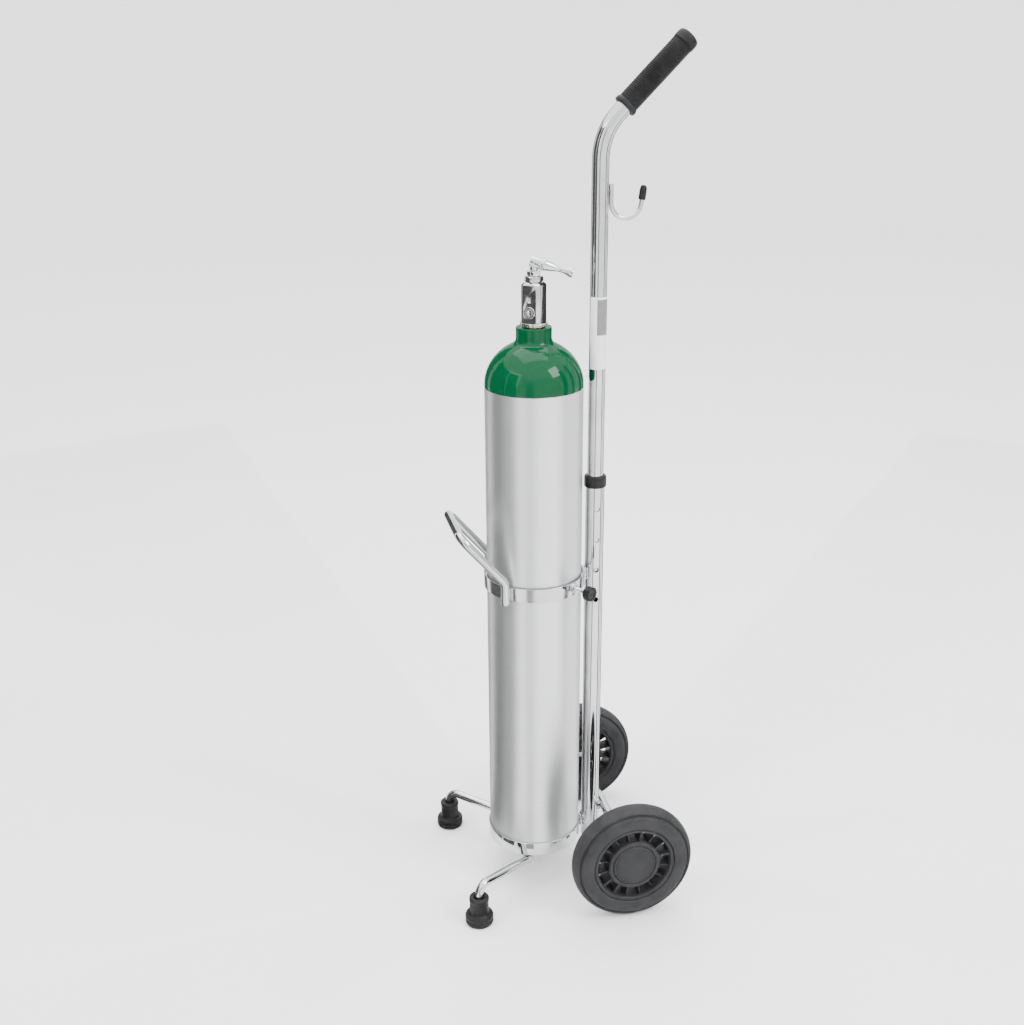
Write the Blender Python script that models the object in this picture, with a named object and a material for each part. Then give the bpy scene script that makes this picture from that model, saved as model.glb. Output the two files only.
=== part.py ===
"""Medical oxygen cylinder with a post valve, standing in a two-wheeled cart.

Metres, +Z up. The wheels are at +Y, the feet at -Y and the axle runs along X.
The origin is on the floor under the middle of the outline.
"""

import math

import bmesh
import bpy
from mathutils import Matrix, Vector

# Clearances
GAP = 0.0003
EDGE = 0.0010

# Resolution of round pieces
FINE = 40
ROUND = 24
SMALL = 12
TINY = 10
ROD_SIDES = 10
BEND_STEPS = 5
DOME_STEPS = 7
LABEL_STEPS = 20
PORT_SIDES = 18
LEVER_SIDES = 16
STEM_CUT_SIDES = 14
ORING_SIDES = 8

# Cylinder
CYLINDER_RADIUS = 0.0556
CYLINDER_LENGTH = 0.6480
CYLINDER_WALL = 0.0060
BASE_EDGE_RADIUS = 0.0100
DOME_HEIGHT = 0.0510
NECK_RADIUS = 0.0200
NECK_HEIGHT = 0.0118
NECK_FILLET = 0.0080
NECK_BORE_RADIUS = 0.0095
ORING_THICKNESS = 0.0024

# Cup under the cylinder
CUP_BOTTOM = 0.0451
CUP_HEIGHT = 0.0188
CUP_WALL = 0.0014
CUP_FIT = 0.0004

# Ring round the cylinder
RING_BOTTOM = 0.3885
RING_HEIGHT = 0.0163
RING_WALL = 0.0016
RING_FIT = 0.0018
BLOCK_WIDTH = 0.0100
STANDOFF = 0.0029

# Upright, sliding tube and height lock
LOWER_TUBE_RADIUS = 0.0111
LOWER_TUBE_BOTTOM = 0.0330
LOWER_TUBE_TOP = 0.5137
UPPER_TUBE_RADIUS = 0.0095
UPPER_TUBE_WALL = 0.0014
UPPER_TUBE_BOTTOM = 0.3700
PLUG_HEAD = 0.0020
PLUG_DEPTH = 0.0120
COLLAR_RADIUS = 0.0130
COLLAR_SKIRT = 0.0097
COLLAR_LIP = 0.0040
LOCK_HEIGHT = 0.4020
LOCK_PITCH = 0.0381
LOCK_HOLES_BELOW = 1
LOCK_HOLES_ABOVE = 2
BUTTON_RADIUS = 0.0030
BUTTON_FLANGE = 0.0008
BUTTON_FLANGE_LIP = 0.0008
BUTTON_LENGTH = 0.0053
BUTTON_DOME = 0.0015
DOME_SHARES = (0, 0.35, 0.7, 0.93)
SPRING_WIDTH = 0.0050
SPRING_THICKNESS = 0.0005
SPRING_DROP = 0.0240

# Bent top and grip
HANDLE_CORNER = 0.8982
HANDLE_TILT = math.radians(45)
HANDLE_BEND_RADIUS = 0.0680
GRIP_START = 0.0346
GRIP_LENGTH = 0.1000
GRIP_RADIUS = 0.0125
GRIP_FLANGE_RADIUS = 0.0133
GRIP_FLANGE_LENGTH = 0.0055
GRIP_RIB_RADIUS = 0.0121
GRIP_CAP_LENGTH = 0.0120
GRIP_END_WALL = 0.0050
GRIP_END_ROUND = 0.0040

# Label and hook on the sliding tube
LABEL_BOTTOM = 0.6440
LABEL_HEIGHT = 0.0810
LABEL_THICKNESS = 0.0002
LABEL_START = math.radians(-70)
LABEL_SWEEP = math.radians(200)
HOOK_RADIUS = 0.0025
HOOK_TOP = 0.8450
HOOK_BEND_HEIGHT = 0.8250
HOOK_BEND_RADIUS = 0.0170
HOOK_SWEEP = math.radians(172)
HOOK_TIP = 0.0190
HOOK_CAP_LENGTH = 0.0190
HOOK_CAP_WALL = 0.0012

# Lifting bail
BAIL_RADIUS = 0.0050
BAIL_ANGLE = math.radians(-43.8)
BAIL_BOTTOM = 0.3850
BAIL_KNEE = 0.4120
BAIL_REACH = 0.0500
BAIL_RISE = 0.0580
BAIL_KNEE_RADIUS = 0.0130
BAIL_CORNER_RADIUS = 0.0140

# Thumb screw
CLAMP_ANGLE = math.radians(34.5)
CLAMP_RISE = 0.0030
SCREW_RADIUS = 0.0030
PAD_LENGTH = 0.0027
NUT_FLATS = 0.0100
NUT_HEIGHT = 0.0050
KNOB_SIDES = 8
KNOB_RADIUS = 0.0088
KNOB_START = 0.0210
KNOB_LENGTH = 0.0090
KNOB_BORE_DEPTH = 0.0060
KNOB_BEVEL = 0.0014

# Front legs and feet
LEG_RADIUS = 0.0052
LEG_RIM_X = 0.0530
LEG_RIM_Y = -0.0240
LEG_STUB = 0.0120
LEG_ELBOW = 0.0510
LEG_BEND_RADIUS = 0.0130
FOOT_X = 0.1040
FOOT_Y = -0.0920
FOOT_FLOOR = 0.0120
FOOT_RADIUS = 0.0170
FOOT_BASE_HEIGHT = 0.0125
FOOT_SLEEVE_RADIUS = 0.0120
FOOT_HEIGHT = 0.0355

# Axle and wheels
WHEEL_RADIUS = 0.0732
WHEEL_OFFSET = 0.1243
TYRE_HALF_WIDTH = 0.0155
TYRE_INNER_RADIUS = 0.0492
TYRE_OUTLINE = [
    (0.16, 0.97),
    (0.39, 1.00),
    (0.60, 0.93),
    (0.74, 0.84),
    (0.91, 0.60),
    (1.00, 0.30),
]
HUB_HALF_WIDTH = 0.0130
HUB_RIM_THICKNESS = 0.0050
BOSS_RADIUS = 0.0314
BOSS_WALL = 0.0054
HUB_WEB = 0.0040
SLEEVE_WALL = 0.0032
SLEEVE_OUTER_END = 0.0075
SPOKES = 16
SPOKE_THICKNESS = 0.0016
SPOKE_HALF_DEPTH = 0.0090
AXLE_RADIUS = 0.0040
AXLE_TUBE_RADIUS = 0.0055
BUSH_WALL = 0.0017
WASHER_RADIUS = 0.0080
WASHER_THICKNESS = 0.0012
PUSH_NUT_THICKNESS = 0.0015
HUB_CAP_THICKNESS = 0.0027
HUB_CAP_CROWN = 0.0005

# Valve
VALVE_ANGLE = math.radians(-38)
BRASS_RADIUS = 0.0128
BRASS_HEIGHT = 0.0025
FLANGE_RADIUS = 0.0155
FLANGE_HEIGHT = 0.0023
SPIGOT_LENGTH = 0.0200
POST_WIDTH = 0.0230
POST_CHAMFER = 0.0034
POST_HEIGHT = 0.0410
POST_SHOULDER = 0.0025
PASSAGE_RADIUS = 0.0020
CHAMBER_RADIUS = 0.0043
SEAT_HEIGHT = 0.0206
PORT_HEIGHT = 0.0255
PORT_RADIUS = 0.0018
PORT_FACE_RADIUS = 0.0048
PORT_FACE_DEPTH = 0.0012
INDEX_CIRCLE = 0.0143
INDEX_ANGLE = math.radians(18)
INDEX_RADIUS = 0.0024
INDEX_DEPTH = 0.0055
DIMPLE_RADIUS = 0.0034
DIMPLE_DEPTH = 0.0036
RELIEF_HEIGHT = 0.0114
RELIEF_RADIUS = 0.0065
RELIEF_DEPTH = 0.0050
RELIEF_PROUD = 0.0005
RELIEF_SOCKET_RADIUS = 0.0032
RELIEF_SOCKET_DEPTH = 0.0015
RELIEF_PASSAGE = 0.0014
DISC_THICKNESS = 0.0006
BONNET_CORNERS = 0.0105
BONNET_HEIGHT = 0.0064
BONNET_SPIGOT_RADIUS = 0.0070
BONNET_SOCKET_DEPTH = 0.0100
PACKING_CORNERS = 0.0083
PACKING_HEIGHT = 0.0052
PACKING_TURN = math.radians(20)
PACKING_RING_RADIUS = 0.0048
PACKING_RING_HEIGHT = 0.0021

# Stem, seat plug and toggle
STEM_RADIUS = 0.0025
STEM_COLLAR_RADIUS = 0.0036
STEM_COLLAR_HEIGHT = 0.0012
STEM_TANG_RADIUS = 0.0016
STEM_ENGAGEMENT = 0.0028
SEAT_PLUG_HEIGHT = 0.0090
SEAT_SOCKET_DEPTH = 0.0050
TOGGLE_ANGLE = math.radians(75)
TOGGLE_TILT = math.radians(16)
HEAD_RISE = 0.0093
HEAD_RADIUS = 0.0060
HEAD_BACK = 0.0042
HEAD_BEVEL = 0.0006
HEAD_FRONT = 0.0085
HEAD_BOSS_RADIUS = 0.0045
LEVER_SPIGOT_RADIUS = 0.0027
LEVER_SPIGOT_LENGTH = 0.0045
LEVER_LENGTH = 0.0357
LEVER_OUTLINE = [
    (0.0063, 0.00),
    (0.0066, 0.02),
    (0.0066, 0.08),
    (0.0062, 0.15),
    (0.0052, 0.27),
    (0.0040, 0.40),
    (0.0030, 0.53),
    (0.0027, 0.60),
    (0.0029, 0.67),
    (0.0038, 0.77),
    (0.0050, 0.88),
    (0.0055, 0.95),
    (0.0053, 0.99),
    (0.0045, 1.00),
]
PIN_RADIUS = 0.0011

# Sizes that follow from the values above
CYLINDER_BOTTOM = CUP_BOTTOM + CUP_WALL + GAP
CUP_RADIUS = CYLINDER_RADIUS + CUP_FIT + CUP_WALL
RING_INNER = CYLINDER_RADIUS + RING_FIT
RING_OUTER = RING_INNER + RING_WALL
UPRIGHT_Y = RING_OUTER + STANDOFF + LOWER_TUBE_RADIUS
LOWER_TUBE_BORE = UPPER_TUBE_RADIUS + GAP
UPPER_TUBE_BORE = UPPER_TUBE_RADIUS - UPPER_TUBE_WALL
AXLE_Y = UPRIGHT_Y + LOWER_TUBE_RADIUS + GAP + AXLE_TUBE_RADIUS
GRIP_END = GRIP_START + GRIP_LENGTH
GRIP_CORNER_REACH = GRIP_END - GRIP_END_ROUND + GRIP_RADIUS - GRIP_END_ROUND
BACK_Y = UPRIGHT_Y + GRIP_CORNER_REACH * math.sin(HANDLE_TILT) + GRIP_END_ROUND
FRONT_Y = FOOT_Y - FOOT_RADIUS
MIDDLE_Y = (FRONT_Y + BACK_Y) / 2
CLAMP_HEIGHT = RING_BOTTOM + RING_HEIGHT / 2 + CLAMP_RISE
HUB_RIM_RADIUS = TYRE_INNER_RADIUS - GAP
BUSH_RADIUS = AXLE_RADIUS + GAP + BUSH_WALL
BUSH_END = SLEEVE_OUTER_END + GAP
AXLE_END = BUSH_END + GAP + PUSH_NUT_THICKNESS
FLANGE_BOTTOM = BRASS_HEIGHT + 2 * GAP
POST_BOTTOM = FLANGE_BOTTOM + FLANGE_HEIGHT
POST_TOP = POST_BOTTOM + POST_HEIGHT + POST_SHOULDER
SEAT_Z = POST_BOTTOM + SEAT_HEIGHT
PORT_Z = POST_BOTTOM + PORT_HEIGHT
RELIEF_Z = POST_BOTTOM + RELIEF_HEIGHT
BONNET_BOTTOM = POST_TOP + GAP
BONNET_SOCKET_Z = POST_TOP - BONNET_SOCKET_DEPTH
PACKING_BOTTOM = BONNET_BOTTOM + BONNET_HEIGHT + GAP
PACKING_TOP = PACKING_BOTTOM + PACKING_HEIGHT
HEAD_Z = PACKING_TOP + HEAD_RISE
SEAT_PLUG_TOP = SEAT_Z + GAP + SEAT_PLUG_HEIGHT

X_AXIS = Vector((1, 0, 0))
Y_AXIS = Vector((0, 1, 0))
Z_AXIS = Vector((0, 0, 1))


def clear_scene():
    for item in list(bpy.data.objects):
        bpy.data.objects.remove(item, do_unlink=True)


def finish(name, colour, roughness, metallic):
    """A plain material of one colour."""
    paint = bpy.data.materials.new(name)
    paint.use_nodes = True
    shader = paint.node_tree.nodes["Principled BSDF"]
    shader.inputs["Base Color"].default_value = (*colour, 1)
    shader.inputs["Roughness"].default_value = roughness
    shader.inputs["Metallic"].default_value = metallic
    return paint


def turned_to(direction):
    """The rotation that turns +Z to a direction."""
    return Vector(direction).to_track_quat("Z", "Y").to_euler()


def place(item, parent, location=(0, 0, 0), rotation=(0, 0, 0)):
    bpy.context.scene.collection.objects.link(item)
    item.parent = parent
    item.location = location
    item.rotation_euler = rotation
    return item


def empty(name, parent=None, location=(0, 0, 0), rotation=(0, 0, 0)):
    return place(bpy.data.objects.new(name, None), parent, location, rotation)


def solid(name, shape, parent, paint, location=(0, 0, 0), rotation=(0, 0, 0)):
    """An object made from a bmesh, smooth except at its sharp edges."""
    bmesh.ops.remove_doubles(shape, verts=shape.verts, dist=1e-6)
    bmesh.ops.recalc_face_normals(shape, faces=shape.faces)
    mesh = bpy.data.meshes.new(name)
    shape.to_mesh(mesh)
    shape.free()
    mesh.shade_smooth()
    mesh.set_sharp_from_angle(angle=math.radians(35))
    if paint:
        mesh.materials.append(paint)
    return place(bpy.data.objects.new(name, mesh), parent, location, rotation)


def skin(rings, loop):
    """Joins rings of equally many points into a tube, closed on itself or capped at both ends."""
    shape = bmesh.new()
    rows = [[shape.verts.new(point) for point in ring] for ring in rings]
    pairs = list(zip(rows, rows[1:]))
    if loop:
        pairs.append((rows[-1], rows[0]))
    else:
        shape.faces.new(rows[0])
        shape.faces.new(rows[-1])
    for first, second in pairs:
        for here in range(len(first)):
            after = (here + 1) % len(first)
            shape.faces.new((first[here], first[after], second[after], second[here]))
    return shape


def lathe(name, outline, parent, paint, segments=ROUND, ring=False, **spot):
    """Turns (radius, height) points about Z: a ring from a closed outline, or a solid with flat ends."""
    shape = bmesh.new()
    if not ring:
        outline = [(0, outline[0][1]), *outline, (0, outline[-1][1])]
    points = [shape.verts.new((radius, 0, height)) for radius, height in outline]
    pairs = list(zip(points, points[1:]))
    if ring:
        pairs.append((points[-1], points[0]))
    edges = [shape.edges.new(pair) for pair in pairs]
    turn = {"axis": Z_AXIS, "cent": (0, 0, 0), "angle": math.tau, "steps": segments, "use_merge": True}
    bmesh.ops.spin(shape, geom=points + edges, **turn)
    return solid(name, shape, parent, paint, **spot)


def tube(name, outer, inner, low, high, parent, paint, segments=ROUND, **spot):
    """A straight tube or washer along Z."""
    outline = [(outer, low), (outer, high), (inner, high), (inner, low)]
    return lathe(name, outline, parent, paint, segments, ring=True, **spot)


def box(name, low, high, parent, paint, **spot):
    shape = bmesh.new()
    centre = (Vector(low) + Vector(high)) / 2
    size = Vector(high) - Vector(low)
    placed = Matrix.Translation(centre) @ Matrix.Diagonal((*size, 1))
    bmesh.ops.create_cube(shape, size=1, matrix=placed)
    return solid(name, shape, parent, paint, **spot)


def tool(item):
    """Marks an object as a cutter or an addition, which isn't a piece itself."""
    item.hide_render = True
    item.display_type = "WIRE"
    return item


def combine(target, other, operation):
    change = target.modifiers.new(other.name, "BOOLEAN")
    change.object = tool(other)
    change.operation = operation
    change.solver = "EXACT"
    return target


def cut(target, other):
    return combine(target, other, "DIFFERENCE")


def add(target, other):
    return combine(target, other, "UNION")


def drill(target, name, radius, low, high, parent, segments=SMALL, **spot):
    """Cuts a round hole along the local Z of its place."""
    return cut(target, lathe(name, [(radius, low), (radius, high)], parent, None, segments, **spot))


def arc(centre, start, end, radius, first, last, steps):
    """Points on a circle in the plane of two unit vectors, from one angle to another."""
    points = []
    for step in range(steps + 1):
        angle = first + (last - first) * step / steps
        points.append(centre + (start * math.cos(angle) + end * math.sin(angle)) * radius)
    return points


def rounded(corners, radii):
    """A path through its end points, with each inner corner replaced by an arc of its own radius."""
    path = [Vector(corners[0])]
    for before, corner, after, radius in zip(corners, corners[1:], corners[2:], radii):
        corner = Vector(corner)
        back = (Vector(before) - corner).normalized()
        ahead = (Vector(after) - corner).normalized()
        half = back.angle(ahead) / 2
        centre = corner + (back + ahead).normalized() * (radius / math.sin(half))
        start = corner + back * (radius / math.tan(half)) - centre
        end = corner + ahead * (radius / math.tan(half)) - centre
        towards = start.normalized()
        across = (end - towards * end.dot(towards)).normalized()
        path += arc(centre, towards, across, radius, 0, start.angle(end), BEND_STEPS)
    return [*path, Vector(corners[-1])]


def rod(name, path, radius, parent, paint, **spot):
    """A solid bar of round section along a path."""
    data = bpy.data.curves.new(name, "CURVE")
    data.dimensions = "3D"
    data.bevel_depth = radius
    data.bevel_resolution = (ROD_SIDES - 4) // 2
    data.use_fill_caps = True
    line = data.splines.new("POLY")
    line.points.add(len(path) - 1)
    for knot, point in zip(line.points, path):
        knot.co = (*point, 1)
    data.materials.append(paint)
    return place(bpy.data.objects.new(name, data), parent, **spot)


def bent_tube(name, path, outer, inner, parent, paint, **spot):
    """A hollow tube whose path lies in a plane of constant X."""
    rings = []
    for index, point in enumerate(path):
        before = path[max(index - 1, 0)]
        after = path[min(index + 1, len(path) - 1)]
        across = (after - before).normalized().cross(X_AXIS)
        rings.append((point, across))
    angles = [math.tau * step / ROUND for step in range(ROUND)]
    walls = []
    for radius in (outer, inner):
        spokes = [[(X_AXIS * math.cos(a) + q * math.sin(a)) * radius for a in angles] for _, q in rings]
        walls.append([[p + spoke for spoke in row] for (p, _), row in zip(rings, spokes)])
    outside, inside = walls
    return solid(name, skin(outside + inside[::-1], loop=True), parent, paint, **spot)


def shoulder(radius, height, low, stop):
    """The quarter ellipse of a dome, from its widest point up to a smaller radius."""
    last = math.acos(stop / radius)
    angles = [last * step / DOME_STEPS for step in range(DOME_STEPS + 1)]
    return [(radius * math.cos(angle), low + height * math.sin(angle)) for angle in angles]


def round_corner(radius, height, size, first, steps=3):
    """Points of a quarter circle in an outline, turning from one angle by 90 degrees."""
    angles = [first + math.pi / 2 * step / steps for step in range(steps + 1)]
    return [(radius + size * math.cos(angle), height + size * math.sin(angle)) for angle in angles]


def make_cylinder(parent, paints):
    """The hollow cylinder with its neck seal. The parent is at the cylinder's base."""
    neck_base = CYLINDER_LENGTH - NECK_HEIGHT
    fillet_centre = NECK_RADIUS + NECK_FILLET
    guess = NECK_RADIUS + NECK_FILLET / 2
    slope = math.atan(DOME_HEIGHT / CYLINDER_RADIUS * guess / math.sqrt(CYLINDER_RADIUS**2 - guess**2))
    meeting = fillet_centre - NECK_FILLET * math.sin(slope)
    drop = NECK_FILLET * math.cos(slope)
    dome_base = neck_base - drop - DOME_HEIGHT * math.sqrt(1 - (meeting / CYLINDER_RADIUS) ** 2)
    edge = BASE_EDGE_RADIUS
    outline = round_corner(CYLINDER_RADIUS - edge, edge, edge, -math.pi / 2)
    outline += shoulder(CYLINDER_RADIUS, DOME_HEIGHT, dome_base, meeting)
    for share in (1 / 3, 2 / 3, 1):
        angle = math.pi * 1.5 - slope + (slope - math.pi / 2) * share
        radius = fillet_centre + NECK_FILLET * math.cos(angle)
        outline.append((radius, neck_base + NECK_FILLET * math.sin(angle)))
    groove = NECK_BORE_RADIUS + ORING_THICKNESS + GAP
    groove_floor = CYLINDER_LENGTH - ORING_THICKNESS - 2 * GAP
    outline += [(NECK_RADIUS, CYLINDER_LENGTH), (groove, CYLINDER_LENGTH)]
    outline += [(groove, groove_floor), (NECK_BORE_RADIUS, groove_floor)]
    inner = CYLINDER_RADIUS - CYLINDER_WALL
    outline += shoulder(inner, DOME_HEIGHT - CYLINDER_WALL, dome_base, NECK_BORE_RADIUS)[::-1]
    outline += [(inner, BASE_EDGE_RADIUS + CYLINDER_WALL), (inner - BASE_EDGE_RADIUS, CYLINDER_WALL)]
    lathe("cylinder_shell", outline, parent, paints["cylinder"], FINE)
    half = ORING_THICKNESS / 2
    middle = Vector((NECK_BORE_RADIUS + half, groove_floor + GAP + half, 0))
    section = arc(middle, X_AXIS, Y_AXIS, half, 0, math.tau, ORING_SIDES)
    lathe("neck_oring", [point[:2] for point in section[:-1]], parent, paints["seal"], ring=True)


def post_blank(name, parent):
    """The square post with chamfered edges and a sloping top, along Z."""
    rings = []
    low, shoulder_low = POST_BOTTOM - FLANGE_HEIGHT / 2, POST_TOP - POST_SHOULDER
    for height, inset in ((low, 0), (shoulder_low, 0), (POST_TOP, POST_SHOULDER)):
        half = POST_WIDTH / 2 - inset
        short = half - POST_CHAMFER
        corners = [(half, -short), (half, short), (short, half), (-short, half)]
        corners += [(-x, -y) for x, y in corners]
        rings.append([(x, y, height) for x, y in corners])
    return solid(name, skin(rings, loop=False), parent, None)


def make_valve(parent, paints):
    """The post valve. The parent is on the neck's top, with local X through the relief face."""
    half = POST_WIDTH / 2
    spigot = NECK_BORE_RADIUS - GAP
    tube("neck_washer", BRASS_RADIUS, spigot + GAP, GAP, GAP + BRASS_HEIGHT, parent, paints["brass"])
    outline = [(spigot, -SPIGOT_LENGTH), (spigot, FLANGE_BOTTOM), (FLANGE_RADIUS, FLANGE_BOTTOM)]
    outline += [(FLANGE_RADIUS, POST_BOTTOM)]
    body = lathe("valve_body", outline, parent, paints["chrome"])
    add(body, post_blank("valve_post", parent))
    socket = BONNET_SPIGOT_RADIUS + GAP
    steps = [(PASSAGE_RADIUS, -SPIGOT_LENGTH - GAP), (PASSAGE_RADIUS, SEAT_Z), (CHAMBER_RADIUS, SEAT_Z)]
    steps += [(CHAMBER_RADIUS, BONNET_SOCKET_Z), (socket, BONNET_SOCKET_Z), (socket, POST_TOP + GAP)]
    cut(body, lathe("bore_cut", steps, parent, None))
    outlet = {"location": (0, 0, PORT_Z), "rotation": turned_to(-X_AXIS)}
    floor = half - PORT_FACE_DEPTH
    steps = [(PORT_RADIUS, CHAMBER_RADIUS / 2), (PORT_RADIUS, floor), (PORT_FACE_RADIUS, floor)]
    steps.append((PORT_FACE_RADIUS, half + GAP))
    cut(body, lathe("port_cut", steps, parent, None, PORT_SIDES, **outlet))
    for side, name in ((-1, "index_left_cut"), (1, "index_right_cut")):
        across = side * INDEX_CIRCLE * math.sin(INDEX_ANGLE)
        height = PORT_Z - INDEX_CIRCLE * math.cos(INDEX_ANGLE)
        spot = {"location": (0, across, height), "rotation": turned_to(-X_AXIS)}
        drill(body, name, INDEX_RADIUS, half - INDEX_DEPTH, half + GAP, parent, **spot)
    cone = [(GAP, half - DIMPLE_DEPTH), (DIMPLE_RADIUS, half), (DIMPLE_RADIUS, half + GAP)]
    dimple = {"location": (0, 0, PORT_Z), "rotation": turned_to(X_AXIS)}
    cut(body, lathe("dimple_cut", cone, parent, None, SMALL, **dimple))
    relief = {"location": (0, 0, RELIEF_Z), "rotation": turned_to(X_AXIS)}
    pocket, floor = RELIEF_RADIUS + GAP, half - RELIEF_DEPTH
    steps = [(RELIEF_PASSAGE, 0), (RELIEF_PASSAGE, floor), (pocket, floor), (pocket, half + GAP)]
    cut(body, lathe("relief_cut", steps, parent, None, **relief))

    disc_low = half - RELIEF_DEPTH + GAP
    disc_high = disc_low + DISC_THICKNESS
    disc = [(RELIEF_RADIUS, disc_low), (RELIEF_RADIUS, disc_high)]
    lathe("burst_disc", disc, parent, paints["brass"], **relief)
    face = half + RELIEF_PROUD
    outline = [(RELIEF_RADIUS, disc_high + GAP), (RELIEF_RADIUS, face), (RELIEF_SOCKET_RADIUS, face)]
    outline += [(RELIEF_SOCKET_RADIUS, face - RELIEF_SOCKET_DEPTH)]
    plug = lathe("safety_plug", outline, parent, paints["chrome"], **relief)
    drill(plug, "safety_vent_cut", RELIEF_PASSAGE, disc_high, face, parent, **relief)

    bore = STEM_RADIUS + GAP
    hexagon = [(BONNET_CORNERS, BONNET_BOTTOM), (BONNET_CORNERS, BONNET_BOTTOM + BONNET_HEIGHT)]
    bonnet = lathe("bonnet_nut", hexagon, parent, paints["chrome"], 6)
    low = BONNET_SOCKET_Z + GAP
    spigot = [(BONNET_SPIGOT_RADIUS, low), (BONNET_SPIGOT_RADIUS, BONNET_BOTTOM + BONNET_HEIGHT / 2)]
    add(bonnet, lathe("bonnet_spigot", spigot, parent, None))
    drill(bonnet, "bonnet_bore_cut", bore, low - GAP, PACKING_BOTTOM, parent, SMALL)
    hexagon = [(PACKING_CORNERS, PACKING_BOTTOM), (PACKING_CORNERS, PACKING_TOP)]
    nut = lathe("packing_nut", hexagon, parent, paints["chrome"], 6, rotation=(0, 0, PACKING_TURN))
    drill(nut, "packing_bore_cut", bore, PACKING_BOTTOM - GAP, PACKING_TOP + GAP, parent, SMALL)
    pocket = PACKING_BOTTOM + PACKING_RING_HEIGHT + GAP
    drill(nut, "packing_pocket_cut", PACKING_RING_RADIUS + GAP, PACKING_BOTTOM - GAP, pocket, parent)
    ring = (PACKING_BOTTOM, PACKING_BOTTOM + PACKING_RING_HEIGHT)
    tube("packing_ring", PACKING_RING_RADIUS, bore, *ring, parent, paints["seal"], SMALL)


def make_toggle(parent, paints):
    """The stem, seat plug and toggle. The parent is on the neck's top, with local X along the lever."""
    collar_top = BONNET_SOCKET_Z
    collar_low = collar_top - STEM_COLLAR_HEIGHT
    tang_low = SEAT_PLUG_TOP - STEM_ENGAGEMENT
    top = HEAD_Z + HEAD_RADIUS / 2
    outline = [(STEM_TANG_RADIUS, tang_low), (STEM_TANG_RADIUS, collar_low)]
    outline += [(STEM_COLLAR_RADIUS, collar_low), (STEM_COLLAR_RADIUS, collar_top)]
    outline += [(STEM_RADIUS, collar_top), (STEM_RADIUS, top)]
    stem = lathe("valve_stem", outline, parent, paints["steel"], SMALL)
    pin = {"location": (0, 0, HEAD_Z), "rotation": turned_to(Y_AXIS)}
    hole = PIN_RADIUS + GAP
    drill(stem, "stem_pin_cut", hole, -HEAD_RADIUS, HEAD_RADIUS, parent, TINY, **pin)

    outline = [(CHAMBER_RADIUS - GAP, SEAT_Z + GAP), (CHAMBER_RADIUS - GAP, SEAT_PLUG_TOP)]
    outline += [(STEM_TANG_RADIUS + GAP, SEAT_PLUG_TOP)]
    outline += [(STEM_TANG_RADIUS + GAP, SEAT_PLUG_TOP - SEAT_SOCKET_DEPTH)]
    lathe("seat_plug", outline, parent, paints["brass"], SMALL)

    lever_axis = Vector((math.cos(TOGGLE_TILT), 0, -math.sin(TOGGLE_TILT)))
    along = {"location": (0, 0, HEAD_Z), "rotation": turned_to(lever_axis)}
    outline = [(HEAD_RADIUS - HEAD_BEVEL, -HEAD_BACK), (HEAD_RADIUS, HEAD_BEVEL - HEAD_BACK)]
    outline.append((HEAD_RADIUS, HEAD_FRONT))
    head = lathe("toggle_head", outline, parent, paints["chrome"], **along)
    boss = [(HEAD_BOSS_RADIUS, PACKING_TOP + GAP), (HEAD_BOSS_RADIUS, HEAD_Z)]
    add(head, lathe("toggle_boss", boss, parent, None, SMALL))
    drill(head, "toggle_stem_cut", STEM_RADIUS + GAP, PACKING_TOP, top + GAP, parent, STEM_CUT_SIDES)
    low, socket = HEAD_FRONT - LEVER_SPIGOT_LENGTH - GAP, LEVER_SPIGOT_RADIUS + GAP
    drill(head, "toggle_socket_cut", socket, low, HEAD_FRONT + GAP, parent, **along)
    drill(head, "toggle_pin_cut", hole, -2 * HEAD_RADIUS, 2 * HEAD_RADIUS, parent, TINY, **pin)
    ends = HEAD_RADIUS - 2 * GAP
    lathe("lever_pin", [(PIN_RADIUS, -ends), (PIN_RADIUS, ends)], parent, paints["steel"], TINY, **pin)

    start = HEAD_FRONT + GAP
    outline = [(LEVER_SPIGOT_RADIUS, start - LEVER_SPIGOT_LENGTH), (LEVER_SPIGOT_RADIUS, start)]
    for radius, share in LEVER_OUTLINE:
        outline.append((radius, start + LEVER_LENGTH * share))
    lathe("toggle_lever", outline, parent, paints["chrome"], LEVER_SIDES, **along)


def make_upright(parent, paints):
    """The fixed tube with its plug and collar. The parent is on the floor under the tube."""
    low, high = LOWER_TUBE_BOTTOM, LOWER_TUBE_TOP
    lower = tube("lower_tube", LOWER_TUBE_RADIUS, LOWER_TUBE_BORE, low, high, parent, paints["chrome"])
    for row in range(-LOCK_HOLES_BELOW, LOCK_HOLES_ABOVE + 1):
        spot = {"location": (0, 0, LOCK_HEIGHT + row * LOCK_PITCH), "rotation": turned_to(X_AXIS)}
        name = f"lock_hole_{row + LOCK_HOLES_BELOW}_cut"
        drill(lower, name, BUTTON_RADIUS + GAP, 0, 2 * LOWER_TUBE_RADIUS, parent, **spot)
    spigot = LOWER_TUBE_BORE - GAP
    outline = [(LOWER_TUBE_RADIUS, low - GAP - PLUG_HEAD), (LOWER_TUBE_RADIUS, low - GAP)]
    outline += [(spigot, low - GAP), (spigot, low + PLUG_DEPTH)]
    lathe("tube_plug", outline, parent, paints["plastic"])
    sleeve = LOWER_TUBE_RADIUS + GAP
    outline = [(sleeve, high - COLLAR_SKIRT), (COLLAR_RADIUS, high - COLLAR_SKIRT)]
    outline += [(COLLAR_RADIUS, high + COLLAR_LIP), (LOWER_TUBE_BORE, high + COLLAR_LIP)]
    outline += [(LOWER_TUBE_BORE, high + GAP), (sleeve, high + GAP)]
    lathe("height_collar", outline, parent, paints["plastic"], ring=True)


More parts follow.
